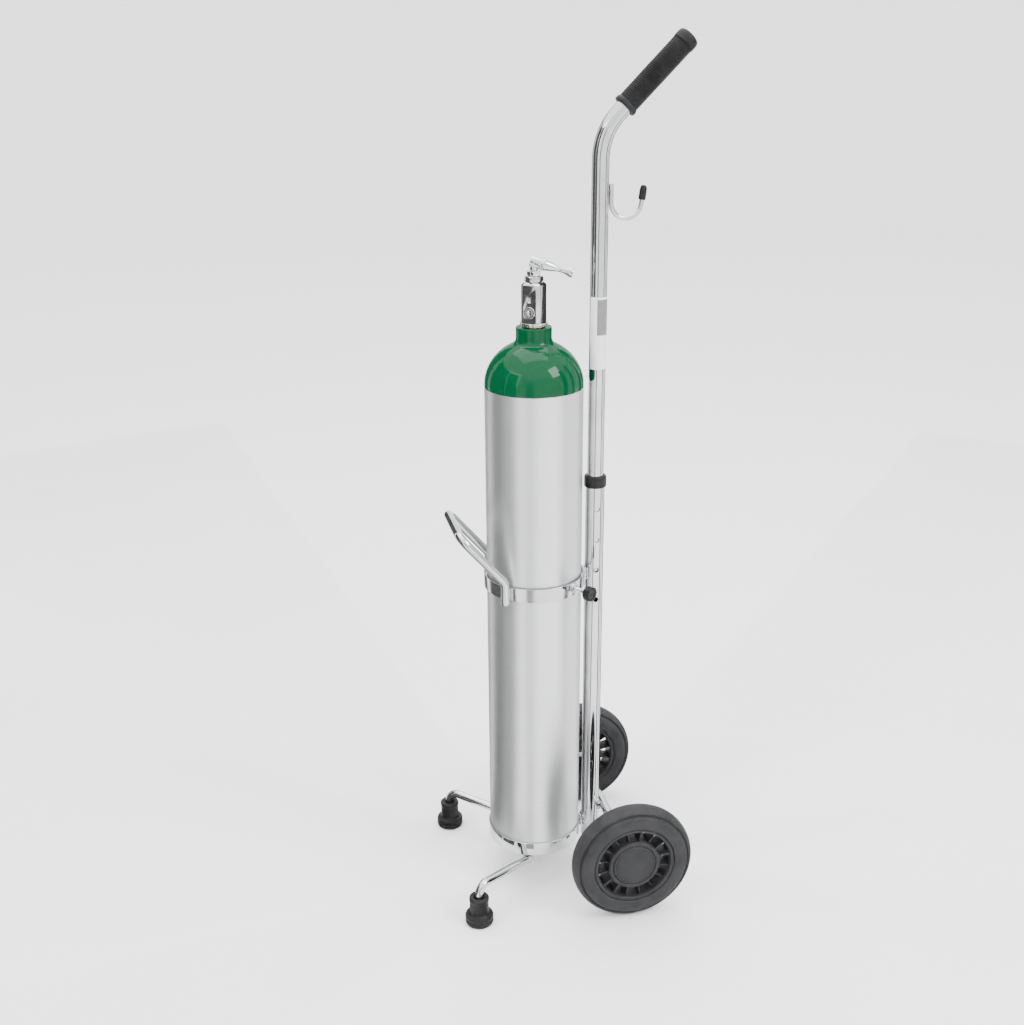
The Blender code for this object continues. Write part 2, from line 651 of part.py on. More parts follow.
def make_handle(parent, paints):
    """The sliding tube, grip, label, hook and leaf spring. The parent is on the floor under the tube."""
    lean = Vector((0, math.sin(HANDLE_TILT), math.cos(HANDLE_TILT)))
    corner = Z_AXIS * HANDLE_CORNER
    tube_end = corner + lean * (GRIP_END - GRIP_END_WALL - GAP)
    path = rounded([Z_AXIS * UPPER_TUBE_BOTTOM, corner, tube_end], [HANDLE_BEND_RADIUS])
    upper = bent_tube("upper_tube", path, UPPER_TUBE_RADIUS, UPPER_TUBE_BORE, parent, paints["chrome"])
    spot = {"location": (0, 0, LOCK_HEIGHT), "rotation": turned_to(X_AXIS)}
    drill(upper, "button_hole_cut", BUTTON_RADIUS + GAP, 0, 2 * UPPER_TUBE_RADIUS, parent, **spot)

    bore = UPPER_TUBE_RADIUS + GAP
    rib_end = GRIP_LENGTH - GRIP_CAP_LENGTH
    end = GRIP_LENGTH - GRIP_END_ROUND
    outline = [(bore, 0), (GRIP_FLANGE_RADIUS, 0), (GRIP_FLANGE_RADIUS, GRIP_FLANGE_LENGTH)]
    outline += [(GRIP_RIB_RADIUS, GRIP_FLANGE_LENGTH), (GRIP_RIB_RADIUS, rib_end), (GRIP_RADIUS, rib_end)]
    outline += round_corner(GRIP_RADIUS - GRIP_END_ROUND, end, GRIP_END_ROUND, 0)
    outline += [(0, GRIP_LENGTH), (0, GRIP_LENGTH - GRIP_END_WALL), (bore, GRIP_LENGTH - GRIP_END_WALL)]
    grip = {"location": corner + lean * GRIP_START, "rotation": (-HANDLE_TILT, 0, 0)}
    lathe("hand_grip", outline, parent, paints["rubber"], ring=True, **grip)

    inner = UPPER_TUBE_RADIUS + GAP
    outer = inner + LABEL_THICKNESS
    section = [(inner, LABEL_BOTTOM), (outer, LABEL_BOTTOM)]
    section += [(outer, LABEL_BOTTOM + LABEL_HEIGHT), (inner, LABEL_BOTTOM + LABEL_HEIGHT)]
    rings = []
    for step in range(LABEL_STEPS + 1):
        angle = LABEL_START + LABEL_SWEEP * step / LABEL_STEPS
        x, y = math.cos(angle), math.sin(angle)
        rings.append([(radius * x, radius * y, height) for radius, height in section])
    solid("label_sleeve", skin(rings, loop=False), parent, paints["label"])

    stub = UPPER_TUBE_RADIUS + GAP + HOOK_RADIUS
    centre = Vector((0, stub + HOOK_BEND_RADIUS, HOOK_BEND_HEIGHT))
    path = [Vector((0, stub, HOOK_TOP))]
    path += arc(centre, -Y_AXIS, -Z_AXIS, HOOK_BEND_RADIUS, 0, HOOK_SWEEP, 2 * BEND_STEPS)
    rise = Y_AXIS * math.sin(HOOK_SWEEP) - Z_AXIS * math.cos(HOOK_SWEEP)
    root = path[-1]
    path.append(root + rise * HOOK_TIP)
    rod("hook_rod", path, HOOK_RADIUS, parent, paints["chrome"])
    sleeve = HOOK_RADIUS + GAP
    outer = sleeve + HOOK_CAP_WALL
    start = HOOK_TIP - HOOK_CAP_LENGTH + 2 * GAP
    top = HOOK_TIP + HOOK_CAP_WALL
    outline = [(sleeve, start), (outer, start), (outer, top), (0, top)]
    outline += [(0, HOOK_TIP + GAP), (sleeve, HOOK_TIP + GAP)]
    spot = {"location": root, "rotation": turned_to(rise)}
    lathe("hook_cap", outline, parent, paints["rubber"], SMALL, ring=True, **spot)

    front = button_back() - GAP
    rear = GAP - math.sqrt(UPPER_TUBE_BORE**2 - (SPRING_WIDTH / 2) ** 2)
    leaf = SPRING_THICKNESS
    low = LOCK_HEIGHT - SPRING_DROP
    front_top, rear_top = LOCK_HEIGHT + BUTTON_RADIUS, LOCK_HEIGHT - BUTTON_RADIUS
    outline = [(front - leaf, front_top), (front, front_top), (front, low), (front - leaf, low)]
    outline += [(rear, rear_top), (rear + leaf, rear_top), (front - leaf, low + 4 * leaf)]
    rings = [[(x, y, z) for x, z in outline] for y in (-SPRING_WIDTH / 2, SPRING_WIDTH / 2)]
    solid("button_spring", skin(rings, loop=False), parent, paints["steel"])


def button_back():
    """How far the pressed button's inner face is from the tube's axis."""
    return UPPER_TUBE_RADIUS - BUTTON_LENGTH - BUTTON_FLANGE


def make_button(parent, paints):
    """The snap button, pressed inside the fixed tube. The parent is on the tube's axis at its height."""
    back = button_back()
    flange = BUTTON_RADIUS + BUTTON_FLANGE_LIP
    outline = [(flange, back), (flange, back + BUTTON_FLANGE), (BUTTON_RADIUS, back + BUTTON_FLANGE)]
    for share in DOME_SHARES:
        height = UPPER_TUBE_RADIUS - BUTTON_DOME * (1 - share)
        outline.append((BUTTON_RADIUS * math.sqrt(1 - share**2), height))
    lathe("snap_button", outline, parent, paints["steel"], SMALL, rotation=turned_to(X_AXIS))


def block(name, front_radius, low, high, parent, paint):
    """A block that joins a round piece on the cylinder's axis to the upright, with a hollow for each."""
    half = BLOCK_WIDTH / 2
    item = box(name, (-half, 0, low), (half, UPRIGHT_Y, high), parent, paint)
    ends = (low - GAP, high + GAP)
    drill(item, f"{name}_front_cut", front_radius + GAP, *ends, parent, FINE * 2)
    spot = {"location": (0, UPRIGHT_Y, 0)}
    drill(item, f"{name}_back_cut", LOWER_TUBE_RADIUS + GAP, *ends, parent, FINE, **spot)


def make_holders(parent, paints):
    """The cup, the ring and the blocks behind them. The parent is on the cylinder's axis."""
    chrome = paints["chrome"]
    inner = CUP_RADIUS - CUP_WALL
    outline = [(CUP_RADIUS, 0), (CUP_RADIUS, CUP_HEIGHT), (inner, CUP_HEIGHT), (inner, CUP_WALL)]
    lathe("base_cup", outline, parent, chrome, FINE, location=(0, 0, CUP_BOTTOM))
    low, high = RING_BOTTOM, RING_BOTTOM + RING_HEIGHT
    ring = tube("ring_band", RING_OUTER, RING_INNER, low, high, parent, chrome, FINE)
    clamp = {"location": (0, 0, CLAMP_HEIGHT), "rotation": turned_to(clamp_direction())}
    drill(ring, "clamp_hole_cut", SCREW_RADIUS + GAP, 0, 2 * RING_OUTER, parent, **clamp)
    block("ring_block", RING_OUTER, low + EDGE, high - EDGE, parent, chrome)
    low, high = CUP_BOTTOM + EDGE, CUP_BOTTOM + CUP_HEIGHT - EDGE
    block("cup_block", CUP_RADIUS, low, high, parent, chrome)


def clamp_direction():
    return Vector((math.cos(CLAMP_ANGLE), math.sin(CLAMP_ANGLE), 0))


def make_clamp(parent, pad_parent, screw_parent, paints):
    """The thumb screw, its nut and its pad. Each parent is on the screw's axis, with +Z outwards."""
    low = RING_OUTER + GAP
    corners = NUT_FLATS / 2 / math.cos(math.pi / 6)
    nut = lathe("clamp_nut", [(corners, low), (corners, low + NUT_HEIGHT)], parent, paints["chrome"], 6)
    drill(nut, "clamp_nut_cut", SCREW_RADIUS + GAP, low - GAP, low + NUT_HEIGHT + GAP, parent)
    low = CYLINDER_RADIUS + GAP
    outline = [(SCREW_RADIUS, low), (SCREW_RADIUS, low + PAD_LENGTH)]
    lathe("clamp_pad", outline, pad_parent, paints["plastic"], SMALL)
    knob_low = RING_OUTER + KNOB_START
    low += PAD_LENGTH + GAP
    outline = [(SCREW_RADIUS, low), (SCREW_RADIUS, knob_low + KNOB_BORE_DEPTH - GAP)]
    lathe("clamp_screw", outline, screw_parent, paints["steel"], SMALL)
    edge = KNOB_BEVEL
    outline = [(KNOB_RADIUS - edge, knob_low), (KNOB_RADIUS, knob_low + edge)]
    outline += [(KNOB_RADIUS, knob_low + KNOB_LENGTH - edge), (KNOB_RADIUS - edge, knob_low + KNOB_LENGTH)]
    knob = lathe("clamp_knob", outline, screw_parent, paints["plastic"], KNOB_SIDES)
    bore = (knob_low - GAP, knob_low + KNOB_BORE_DEPTH)
    drill(knob, "clamp_knob_cut", SCREW_RADIUS + GAP, *bore, screw_parent)


def make_bail(parent, paints):
    """The bent rod on the front of the ring, for lifting."""
    offset = RING_OUTER + GAP + BAIL_RADIUS
    x, y = offset * math.cos(BAIL_ANGLE), offset * math.sin(BAIL_ANGLE)
    top = (y - BAIL_REACH, BAIL_KNEE + BAIL_RISE)
    corners = [(x, y, BAIL_BOTTOM), (x, y, BAIL_KNEE), (x, *top)]
    corners += [(-a, b, c) for a, b, c in corners[::-1]]
    radii = [BAIL_KNEE_RADIUS, BAIL_CORNER_RADIUS, BAIL_CORNER_RADIUS, BAIL_KNEE_RADIUS]
    rod("bail_handle", rounded(corners, radii), BAIL_RADIUS, parent, paints["chrome"])


def make_leg(side, word, parent, paints):
    """A front leg under the cup and its rubber foot. The side is 1 towards +X and -1 towards -X."""
    elbow = Vector((side * FOOT_X, FOOT_Y, LEG_ELBOW))
    rim = Vector((side * LEG_RIM_X, LEG_RIM_Y, CUP_BOTTOM - GAP - LEG_RADIUS))
    rim.z -= LEG_RADIUS * (1 / math.cos(math.atan((elbow.z - rim.z) / (elbow - rim).xy.length)) - 1)
    start = rim + (rim - elbow).normalized() * LEG_STUB
    path = rounded([start, elbow, (elbow.x, elbow.y, FOOT_FLOOR + GAP)], [LEG_BEND_RADIUS])
    rod(f"leg_{word}", path, LEG_RADIUS, parent, paints["chrome"])
    bore = LEG_RADIUS + GAP
    outline = [(FOOT_RADIUS - EDGE, 0), (FOOT_RADIUS, 2 * EDGE), (FOOT_RADIUS, FOOT_BASE_HEIGHT / 2)]
    outline += [(FOOT_RADIUS - 2 * EDGE, FOOT_BASE_HEIGHT - EDGE)]
    outline += [(FOOT_SLEEVE_RADIUS, FOOT_BASE_HEIGHT), (FOOT_SLEEVE_RADIUS, FOOT_HEIGHT)]
    outline += [(bore, FOOT_HEIGHT), (bore, FOOT_FLOOR)]
    lathe(f"foot_{word}", outline, parent, paints["rubber"], location=(side * FOOT_X, FOOT_Y, 0))


def tyre_outline():
    """Half the tyre's section from the rim to the middle of the tread, mirrored to make the whole."""
    depth = WHEEL_RADIUS - TYRE_INNER_RADIUS
    half = [(TYRE_INNER_RADIUS, HUB_HALF_WIDTH + GAP)]
    for height, width in TYRE_OUTLINE:
        half.append((TYRE_INNER_RADIUS + depth * height, TYRE_HALF_WIDTH * width))
    return half + [(r, -z) for r, z in half[::-1]]


def make_wheel(word, parent, paints):
    """A wheel with its bush and cap. The parent is on the wheel's middle, with +Z outwards."""
    lathe(f"tyre_{word}", tyre_outline(), parent, paints["tyre"], FINE, ring=True)
    half = HUB_HALF_WIDTH
    rim = HUB_RIM_RADIUS
    hub = tube(f"hub_{word}", rim, rim - HUB_RIM_THICKNESS, -half, half, parent, paints["hub"], FINE)
    sleeve = BUSH_RADIUS + GAP
    outer, inner = BOSS_RADIUS, BOSS_RADIUS - BOSS_WALL
    wall = sleeve + SLEEVE_WALL
    outline = [(sleeve, -half), (wall, -half), (wall, -HUB_WEB / 2)]
    outline += [(inner, -HUB_WEB / 2), (inner, -half), (outer, -half), (outer, half), (inner, half)]
    outline += [(inner, HUB_WEB / 2), (wall, HUB_WEB / 2), (wall, SLEEVE_OUTER_END)]
    outline.append((sleeve, SLEEVE_OUTER_END))
    add(hub, lathe(f"boss_{word}", outline, parent, None, FINE, ring=True))
    reach = (outer + inner) / 2, rim - HUB_RIM_THICKNESS / 2
    for spoke in range(SPOKES):
        turn = (0, 0, math.tau * (spoke + 0.5) / SPOKES)
        low = (reach[0], -SPOKE_THICKNESS / 2, -SPOKE_HALF_DEPTH)
        high = (reach[1], SPOKE_THICKNESS / 2, SPOKE_HALF_DEPTH)
        add(hub, box(f"spoke_{word}_{spoke}", low, high, parent, None, rotation=turn))
    bush = (BUSH_RADIUS, AXLE_RADIUS + GAP, -half, BUSH_END - GAP)
    tube(f"wheel_bush_{word}", *bush, parent, paints["steel"], SMALL)
    cap = inner - GAP
    low = half - HUB_CAP_THICKNESS
    outline = [(cap, low), (cap, half), (cap - HUB_CAP_CROWN * 2, half + HUB_CAP_CROWN)]
    lathe(f"hub_cap_{word}", outline, parent, paints["hub"])


def make_axle(parent, paints):
    """The axle, its tube, washers and push nuts. The parent is on the axle's middle, with +Z along it."""
    washer_high = WHEEL_OFFSET - HUB_HALF_WIDTH - GAP
    washer_low = washer_high - WASHER_THICKNESS
    bore = AXLE_RADIUS + GAP
    half = washer_low - GAP
    tube("axle_tube", AXLE_TUBE_RADIUS, bore, -half, half, parent, paints["chrome"])
    end = WHEEL_OFFSET + AXLE_END
    lathe("axle_rod", [(AXLE_RADIUS, -end), (AXLE_RADIUS, end)], parent, paints["steel"], SMALL)
    nut_low = WHEEL_OFFSET + BUSH_END
    for side, word in ((1, "right"), (-1, "left")):
        turn = {"rotation": (0, 0 if side > 0 else math.pi, 0)}
        washer = (WASHER_RADIUS, bore, washer_low, washer_high)
        tube(f"wheel_washer_{word}", *washer, parent, paints["steel"], SMALL, **turn)
        nut = (WASHER_RADIUS, bore, nut_low, nut_low + PUSH_NUT_THICKNESS)
        tube(f"push_nut_{word}", *nut, parent, paints["steel"], SMALL, **turn)


def make_paints():
    return {
        "cylinder": finish("painted_aluminium", (0.62, 0.64, 0.66), 0.35, 0.9),
        "chrome": finish("chrome", (0.80, 0.80, 0.82), 0.08, 1.0),
        "steel": finish("zinc_steel", (0.65, 0.66, 0.68), 0.30, 1.0),
        "brass": finish("brass", (0.78, 0.66, 0.42), 0.28, 1.0),
        "seal": finish("seal_rubber", (0.02, 0.02, 0.02), 0.60, 0.0),
        "plastic": finish("black_plastic", (0.02, 0.02, 0.02), 0.45, 0.0),
        "rubber": finish("black_rubber", (0.015, 0.015, 0.015), 0.70, 0.0),
        "tyre": finish("grey_tyre", (0.06, 0.06, 0.06), 0.75, 0.0),
        "hub": finish("grey_plastic", (0.05, 0.05, 0.05), 0.50, 0.0),
        "label": finish("label_film", (0.85, 0.85, 0.85), 0.40, 0.0),
    }


def main():
    clear_scene()
    paints = make_paints()
    cart = empty("cart", None, (0, -MIDDLE_Y, 0))
    base = empty("cylinder_axis", cart, (0, 0, CYLINDER_BOTTOM))
    make_cylinder(base, paints)
    make_valve(empty("valve_face", base, (0, 0, CYLINDER_LENGTH), (0, 0, VALVE_ANGLE)), paints)
    make_toggle(empty("toggle_axis", base, (0, 0, CYLINDER_LENGTH), (0, 0, TOGGLE_ANGLE)), paints)
    make_upright(empty("upright_axis", cart, (0, UPRIGHT_Y, 0)), paints)
    make_handle(empty("handle_axis", cart, (0, UPRIGHT_Y, 0)), paints)
    make_button(empty("button_axis", cart, (0, UPRIGHT_Y, LOCK_HEIGHT)), paints)
    make_holders(cart, paints)
    clamp = {"location": (0, 0, CLAMP_HEIGHT), "rotation": turned_to(clamp_direction())}
    axes = [empty(name, cart, **clamp) for name in ("clamp_axis", "pad_axis", "screw_axis")]
    make_clamp(*axes, paints)
    make_bail(cart, paints)
    make_leg(1, "right", cart, paints)
    make_leg(-1, "left", cart, paints)
    make_axle(empty("axle", cart, (0, AXLE_Y, WHEEL_RADIUS), turned_to(X_AXIS)), paints)
    for side, word in ((1, "right"), (-1, "left")):
        spot = (side * WHEEL_OFFSET, AXLE_Y, WHEEL_RADIUS)
        make_wheel(word, empty(f"wheel_{word}_axis", cart, spot, turned_to(side * X_AXIS)), paints)


main()
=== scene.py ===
"""The looks of a medical oxygen cylinder in its two-wheeled cart."""

import bpy
import bmesh
import numpy as np
from mathutils import Matrix, Vector


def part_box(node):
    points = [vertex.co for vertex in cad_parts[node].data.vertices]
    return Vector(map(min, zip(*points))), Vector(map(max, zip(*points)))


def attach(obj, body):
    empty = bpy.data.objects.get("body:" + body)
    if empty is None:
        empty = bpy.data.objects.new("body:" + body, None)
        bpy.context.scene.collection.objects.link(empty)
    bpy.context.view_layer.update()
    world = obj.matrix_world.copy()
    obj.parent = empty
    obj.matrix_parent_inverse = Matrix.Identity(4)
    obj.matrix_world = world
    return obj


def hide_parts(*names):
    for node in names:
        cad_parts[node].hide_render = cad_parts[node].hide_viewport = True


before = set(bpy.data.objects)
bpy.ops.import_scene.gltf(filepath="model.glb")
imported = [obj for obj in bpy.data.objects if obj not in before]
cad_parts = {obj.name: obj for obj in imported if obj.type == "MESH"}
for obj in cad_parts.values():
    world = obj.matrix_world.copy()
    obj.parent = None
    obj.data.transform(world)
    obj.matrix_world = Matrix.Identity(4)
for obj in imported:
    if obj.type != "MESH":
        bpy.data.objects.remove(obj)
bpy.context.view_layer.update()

TAU = 2 * np.pi
AXIS_X = np.array((1.0, 0.0, 0.0))
AXIS_Y = np.array((0.0, 1.0, 0.0))
AXIS_Z = np.array((0.0, 0.0, 1.0))


# ---------------------------------------------------------------- where the pieces are

def middle(node):
    """The centre of a node's box."""
    low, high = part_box(node)
    return np.array((low + high) / 2)


def size(node):
    """The three side lengths of a node's box."""
    low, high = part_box(node)
    return np.array(high - low)


def low_z(node):
    """The height of a CAD piece's lowest point."""
    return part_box(node)[0].z


def high_z(node):
    """The height of a CAD piece's highest point."""
    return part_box(node)[1].z


# ---------------------------------------------------------------- shapes

def unit(vectors):
    """Vectors scaled to length one along their last axis."""
    vectors = np.asarray(vectors, float)
    return vectors / np.linalg.norm(vectors, axis=-1, keepdims=True)


def spot(origin, along, across=None):
    """The matrix of a place: local Z lies along a direction and local X is as close as can be to another."""
    z = unit(along)
    hint = np.array(across if across is not None else (AXIS_X if abs(z[0]) < 0.9 else AXIS_Y), float)
    x = unit(hint - z * (hint @ z))
    y = np.cross(z, x)
    place = np.eye(4)
    place[:3, 0], place[:3, 1], place[:3, 2], place[:3, 3] = x, y, z, origin
    return Matrix(place.tolist())


def piece(name, mesh, paint, body, stands_for=(), place=None, crease=32.0):
    """A finished object: welded, faces outwards, smooth but for its creases, riding on a body."""
    if place is not None:
        mesh.transform(place)
    shape = bmesh.new()
    shape.from_mesh(mesh)
    bmesh.ops.remove_doubles(shape, verts=shape.verts, dist=2e-7)
    bmesh.ops.recalc_face_normals(shape, faces=shape.faces)
    shape.to_mesh(mesh)
    shape.free()
    mesh.shade_smooth()
    mesh.set_sharp_from_angle(angle=np.radians(crease))
    mesh.name = name
    mesh.materials.clear()
    mesh.materials.append(paint)
    made = bpy.data.objects.new(name, mesh)
    bpy.context.scene.collection.objects.link(made)
    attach(made, body)
    if stands_for:
        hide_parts(*stands_for)
    return made


def mesh_of(points, faces):
    """A mesh from an array of points and an array of faces."""
    mesh = bpy.data.meshes.new("surface")
    mesh.from_pydata(points.reshape(-1, 3).tolist(), [], faces.tolist())
    return mesh


def grid(points, closed=False):
    """Quads between the rows of a grid of points. Each row is a ring; closed also joins the last row to the first."""
    rows, columns = points.shape[:2]
    row = np.arange(rows if closed else rows - 1)[:, None]
    column = np.arange(columns)[None, :]
    after, right = (row + 1) % rows, (column + 1) % columns
    corners = [row * columns + column, row * columns + right, after * columns + right, after * columns + column]
    return mesh_of(points, np.stack([c + 0 * column * row for c in corners], -1).reshape(-1, 4))


def softened(line, radius, steps=4):
    """A line whose corners are replaced by parabolas that start and end up to one radius from the corner."""
    line = np.asarray(line, float)
    before, corner, after = line[:-2], line[1:-1], line[2:]
    back, ahead = before - corner, after - corner
    reach = np.minimum(np.linalg.norm(back, axis=1), np.linalg.norm(ahead, axis=1)) * 0.45
    reach = np.minimum(reach, radius)[:, None]
    start, end = corner + unit(back) * reach, corner + unit(ahead) * reach
    t = np.linspace(0, 1, steps + 1)[None, :, None]
    curve = (1 - t) ** 2 * start[:, None] + 2 * t * (1 - t) * corner[:, None] + t**2 * end[:, None]
    return np.concatenate([line[:1], curve.reshape(-1, line.shape[1]), line[-1:]])


def bent(line, radii, steps=14):
    """A line through its end points whose corners are circular arcs of the given radii."""
    line = np.asarray(line, float)
    path = [line[:1]]
    for before, corner, after, radius in zip(line, line[1:], line[2:], radii):
        back, ahead = unit(before - corner), unit(after - corner)
        half = np.arccos(np.clip(back @ ahead, -1, 1)) / 2
        centre = corner + unit(back + ahead) * radius / np.sin(half)
        start = corner + back * radius / np.tan(half) - centre
        end = corner + ahead * radius / np.tan(half) - centre
        sweep = np.arccos(np.clip(unit(start) @ unit(end), -1, 1))
        across = unit(end - unit(start) * (end @ unit(start)))
        angle = np.linspace(0, sweep, steps)[:, None]
        path.append(centre + radius * (unit(start) * np.cos(angle) + across * np.sin(angle)))
    return np.concatenate([*path, line[-1:]])


def turned(profile, segments=96, closed=False):
    """Revolves (radius, height) points about Z: point = (r cos a, r sin a, h) for angles a round the circle."""
    profile = np.asarray(profile, float)
    angle = np.arange(segments) * TAU / segments
    radius, height = profile[:, :1], profile[:, 1:]
    points = np.stack([radius * np.cos(angle), radius * np.sin(angle), height + 0 * angle], -1)
    return grid(points, closed)


def swept(path, radius, sides=40, reference=AXIS_X, cut=0.0006):
    """A bar along a path: rings of the radius in the plane across the path, drawn in to closed ends.

    A point is p + (s cos a + u sin a) r, where s is the path's direction crossed with the reference and u is
    across both. The ends close through a short bevel.
    """
    path = np.asarray(path, float)
    along = unit(np.gradient(path, axis=0))
    first, last = along[0], along[-1]
    start = [path[0], path[0], path[0] + first * cut]
    end = [path[-1] - last * cut, path[-1], path[-1]]
    path = np.concatenate([start, path[1:-1], end])
    along = np.concatenate([[first, first, first], along[1:-1], [last, last, last]])
    radii = np.full(len(path), float(radius))
    radii[[0, -1]] = 0
    radii[[1, -2]] -= cut
    side = unit(np.cross(along, reference))
    up = np.cross(side, along)
    angle = np.arange(sides) * TAU / sides
    ring = side[:, None] * np.cos(angle)[None, :, None] + up[:, None] * np.sin(angle)[None, :, None]
    return grid(path[:, None] + ring * radii[:, None, None])


def prism(corners, low, high, top_inset=None):
    """A straight prism between two heights over a polygon, with its end faces drawn in to the middle."""
    corners = np.asarray(corners, float)
    count = len(corners)
    heights = [low, low, high, high]
    scales = [0, 1, 1, 0]
    if top_inset:
        drop, shrink = top_inset
        heights = [low, low, high - drop, high, high]
        scales = [0, 1, 1, shrink, 0]
    rings = [np.column_stack([corners * s, np.full(count, h)]) for h, s in zip(heights, scales)]
    return grid(np.array(rings))


def rough_object(mesh):
    """A passing object that carries a mesh while it is machined."""
    made = bpy.data.objects.new("blank", mesh)
    bpy.context.scene.collection.objects.link(made)
    return made


def weld_up(mesh):
    """The same mesh with its meeting points merged and its faces turned outward."""
    shape = bmesh.new()
    shape.from_mesh(mesh)
    bmesh.ops.remove_doubles(shape, verts=shape.verts, dist=2e-7)
    bmesh.ops.recalc_face_normals(shape, faces=shape.faces)
    shape.to_mesh(mesh)
    shape.free()
    return mesh


def machined(blank, cuts=(), joins=(), keep=(), bevel=0.0, steps=2):
    """A blank with other solids cut away, joined on or kept in common, and its sharp edges broken."""
    body = rough_object(weld_up(blank))
    tools = []
    for meshes, kind in ((joins, "UNION"), (cuts, "DIFFERENCE"), (keep, "INTERSECT")):
        for mesh in meshes:
            tool = rough_object(weld_up(mesh))
            tools.append(tool)
            change = body.modifiers.new(kind.lower(), "BOOLEAN")
            change.object, change.operation, change.solver = tool, kind, "EXACT"
    if bevel:
        edge = body.modifiers.new("edges", "BEVEL")
        edge.width, edge.segments, edge.limit_method = bevel, steps, "ANGLE"
        edge.angle_limit = np.radians(30)
    graph = bpy.context.evaluated_depsgraph_get()
    mesh = bpy.data.meshes.new_from_object(body.evaluated_get(graph))
    for item in (body, *tools):
        bpy.data.objects.remove(item, do_unlink=True)
    return mesh


def joined(*meshes):
    """Several closed meshes as one."""
    shape = bmesh.new()
    for mesh in meshes:
        shape.from_mesh(weld_up(mesh))
    made = bpy.data.meshes.new("joined")
    shape.to_mesh(made)
    shape.free()
    return made


def polygon(sides, corner_radius, turn=0.0):
    """The corners of a regular polygon, turned by an angle."""
    angle = np.arange(sides) * TAU / sides + turn
    return corner_radius * np.column_stack([np.cos(angle), np.sin(angle)])


def weld_bead(start, end, out, radius=0.0017, lumps=7, seed=1):
    """A run of weld: a bar between two points whose radius swells and pinches at each drop of metal."""
    t = np.linspace(0, 1, 60)[:, None]
    start, end, out = (np.asarray(v, float) for v in (start, end, out))
    wander = np.random.default_rng(seed).normal(0, 0.06, 60)
    path = start + (end - start) * t + out * radius * 0.2 * np.sin(t * np.pi * lumps)
    swell = radius * (0.82 + 0.18 * np.abs(np.sin(t[:, 0] * np.pi * lumps)) + wander * 0.4)
    swell *= np.clip(np.sin(t[:, 0] * np.pi) * 3, 0.25, 1)
    along = unit(end - start)
    reference = out - along * (out @ along)
    side, up = unit(np.cross(along, reference)), unit(reference)
    angle = np.arange(14) * TAU / 14
    ring = side * np.cos(angle)[:, None] + up * np.sin(angle)[:, None]
    points = path[:, None] + ring[None] * swell[:, None, None]
    ends = np.concatenate([np.repeat(path[:1, None], 14, 1), points, np.repeat(path[-1:, None], 14, 1)])
    return grid(ends)


# ---------------------------------------------------------------- effects shared by the finishes

def effect(name, inputs, outputs):
    """An empty shader node group with named float or vector inputs and outputs."""
    group = bpy.data.node_groups.new(name, "ShaderNodeTree")
    for label, kind, value in inputs:
        socket = group.interface.new_socket(name=label, in_out="INPUT", socket_type=kind)
        if value is not None:
            socket.default_value = value
    for label, kind in outputs:
        group.interface.new_socket(name=label, in_out="OUTPUT", socket_type=kind)
    start = group.nodes.new("NodeGroupInput")
    end = group.nodes.new("NodeGroupOutput")
    return group, start, end


def noise(tree, vector, scale, detail=4.0, roughness=0.55):
    """A fractal noise value at a scale, which is a number or an output."""
    node = tree.nodes.new("ShaderNodeTexNoise")
    node.inputs["Detail"].default_value = detail
    node.inputs["Roughness"].default_value = roughness
    tree.links.new(vector, node.inputs["Vector"])
    if isinstance(scale, (int, float)):
        node.inputs["Scale"].default_value = scale
    else:
        tree.links.new(scale, node.inputs["Scale"])
    return node.outputs["Fac"]


def spread(tree, value, low, high, to_low, to_high, smooth=False):
    """A value moved from one range to another and kept inside it."""
    node = tree.nodes.new("ShaderNodeMapRange")
    node.clamp = True
    node.interpolation_type = "SMOOTHSTEP" if smooth else "LINEAR"
    labels = ("Value", "From Min", "From Max", "To Min", "To Max")
    for label, source in zip(labels, (value, low, high, to_low, to_high)):
        if isinstance(source, (int, float)):
            node.inputs[label].default_value = source
        else:
            tree.links.new(source, node.inputs[label])
    return node.outputs["Result"]


def sum_of(tree, kind, first, second):
    """The result of one arithmetic operation on two numbers or outputs."""
    node = tree.nodes.new("ShaderNodeMath")
    node.operation = kind
    for socket, source in zip(node.inputs, (first, second)):
        if isinstance(source, (int, float)):
            socket.default_value = source
        elif source is not None:
            tree.links.new(source, socket)
    return node.outputs[0]


def stretched(tree, vector, scale):
    """A vector multiplied axis by axis."""
    node = tree.nodes.new("ShaderNodeVectorMath")
    node.operation = "MULTIPLY"
    node.inputs[1].default_value = scale
    tree.links.new(vector, node.inputs[0])
    return node.outputs[0]


def make_smudges():
    """Handled metal or plastic: roughness drifts between two values in soft patches, with finer marks on top."""
    group, start, end = effect(
        "smudges",
        [("Vector", "NodeSocketVector", None), ("Scale", "NodeSocketFloat", 20.0), ("Low", "NodeSocketFloat", 0.05),
         ("High", "NodeSocketFloat", 0.15)],
        [("Roughness", "NodeSocketFloat"), ("Mask", "NodeSocketFloat")],
    )
    broad = noise(group, start.outputs["Vector"], start.outputs["Scale"], 5.0)
    fine = noise(group, start.outputs["Vector"], 900.0, 2.0)
    both = sum_of(group, "ADD", broad, sum_of(group, "MULTIPLY", fine, 0.25))
    mask = spread(group, both, 0.45, 0.85, 0.0, 1.0, smooth=True)
    group.links.new(spread(group, mask, 0.0, 1.0, start.outputs["Low"], start.outputs["High"]), end.inputs["Roughness"])
    group.links.new(mask, end.inputs["Mask"])
    return group


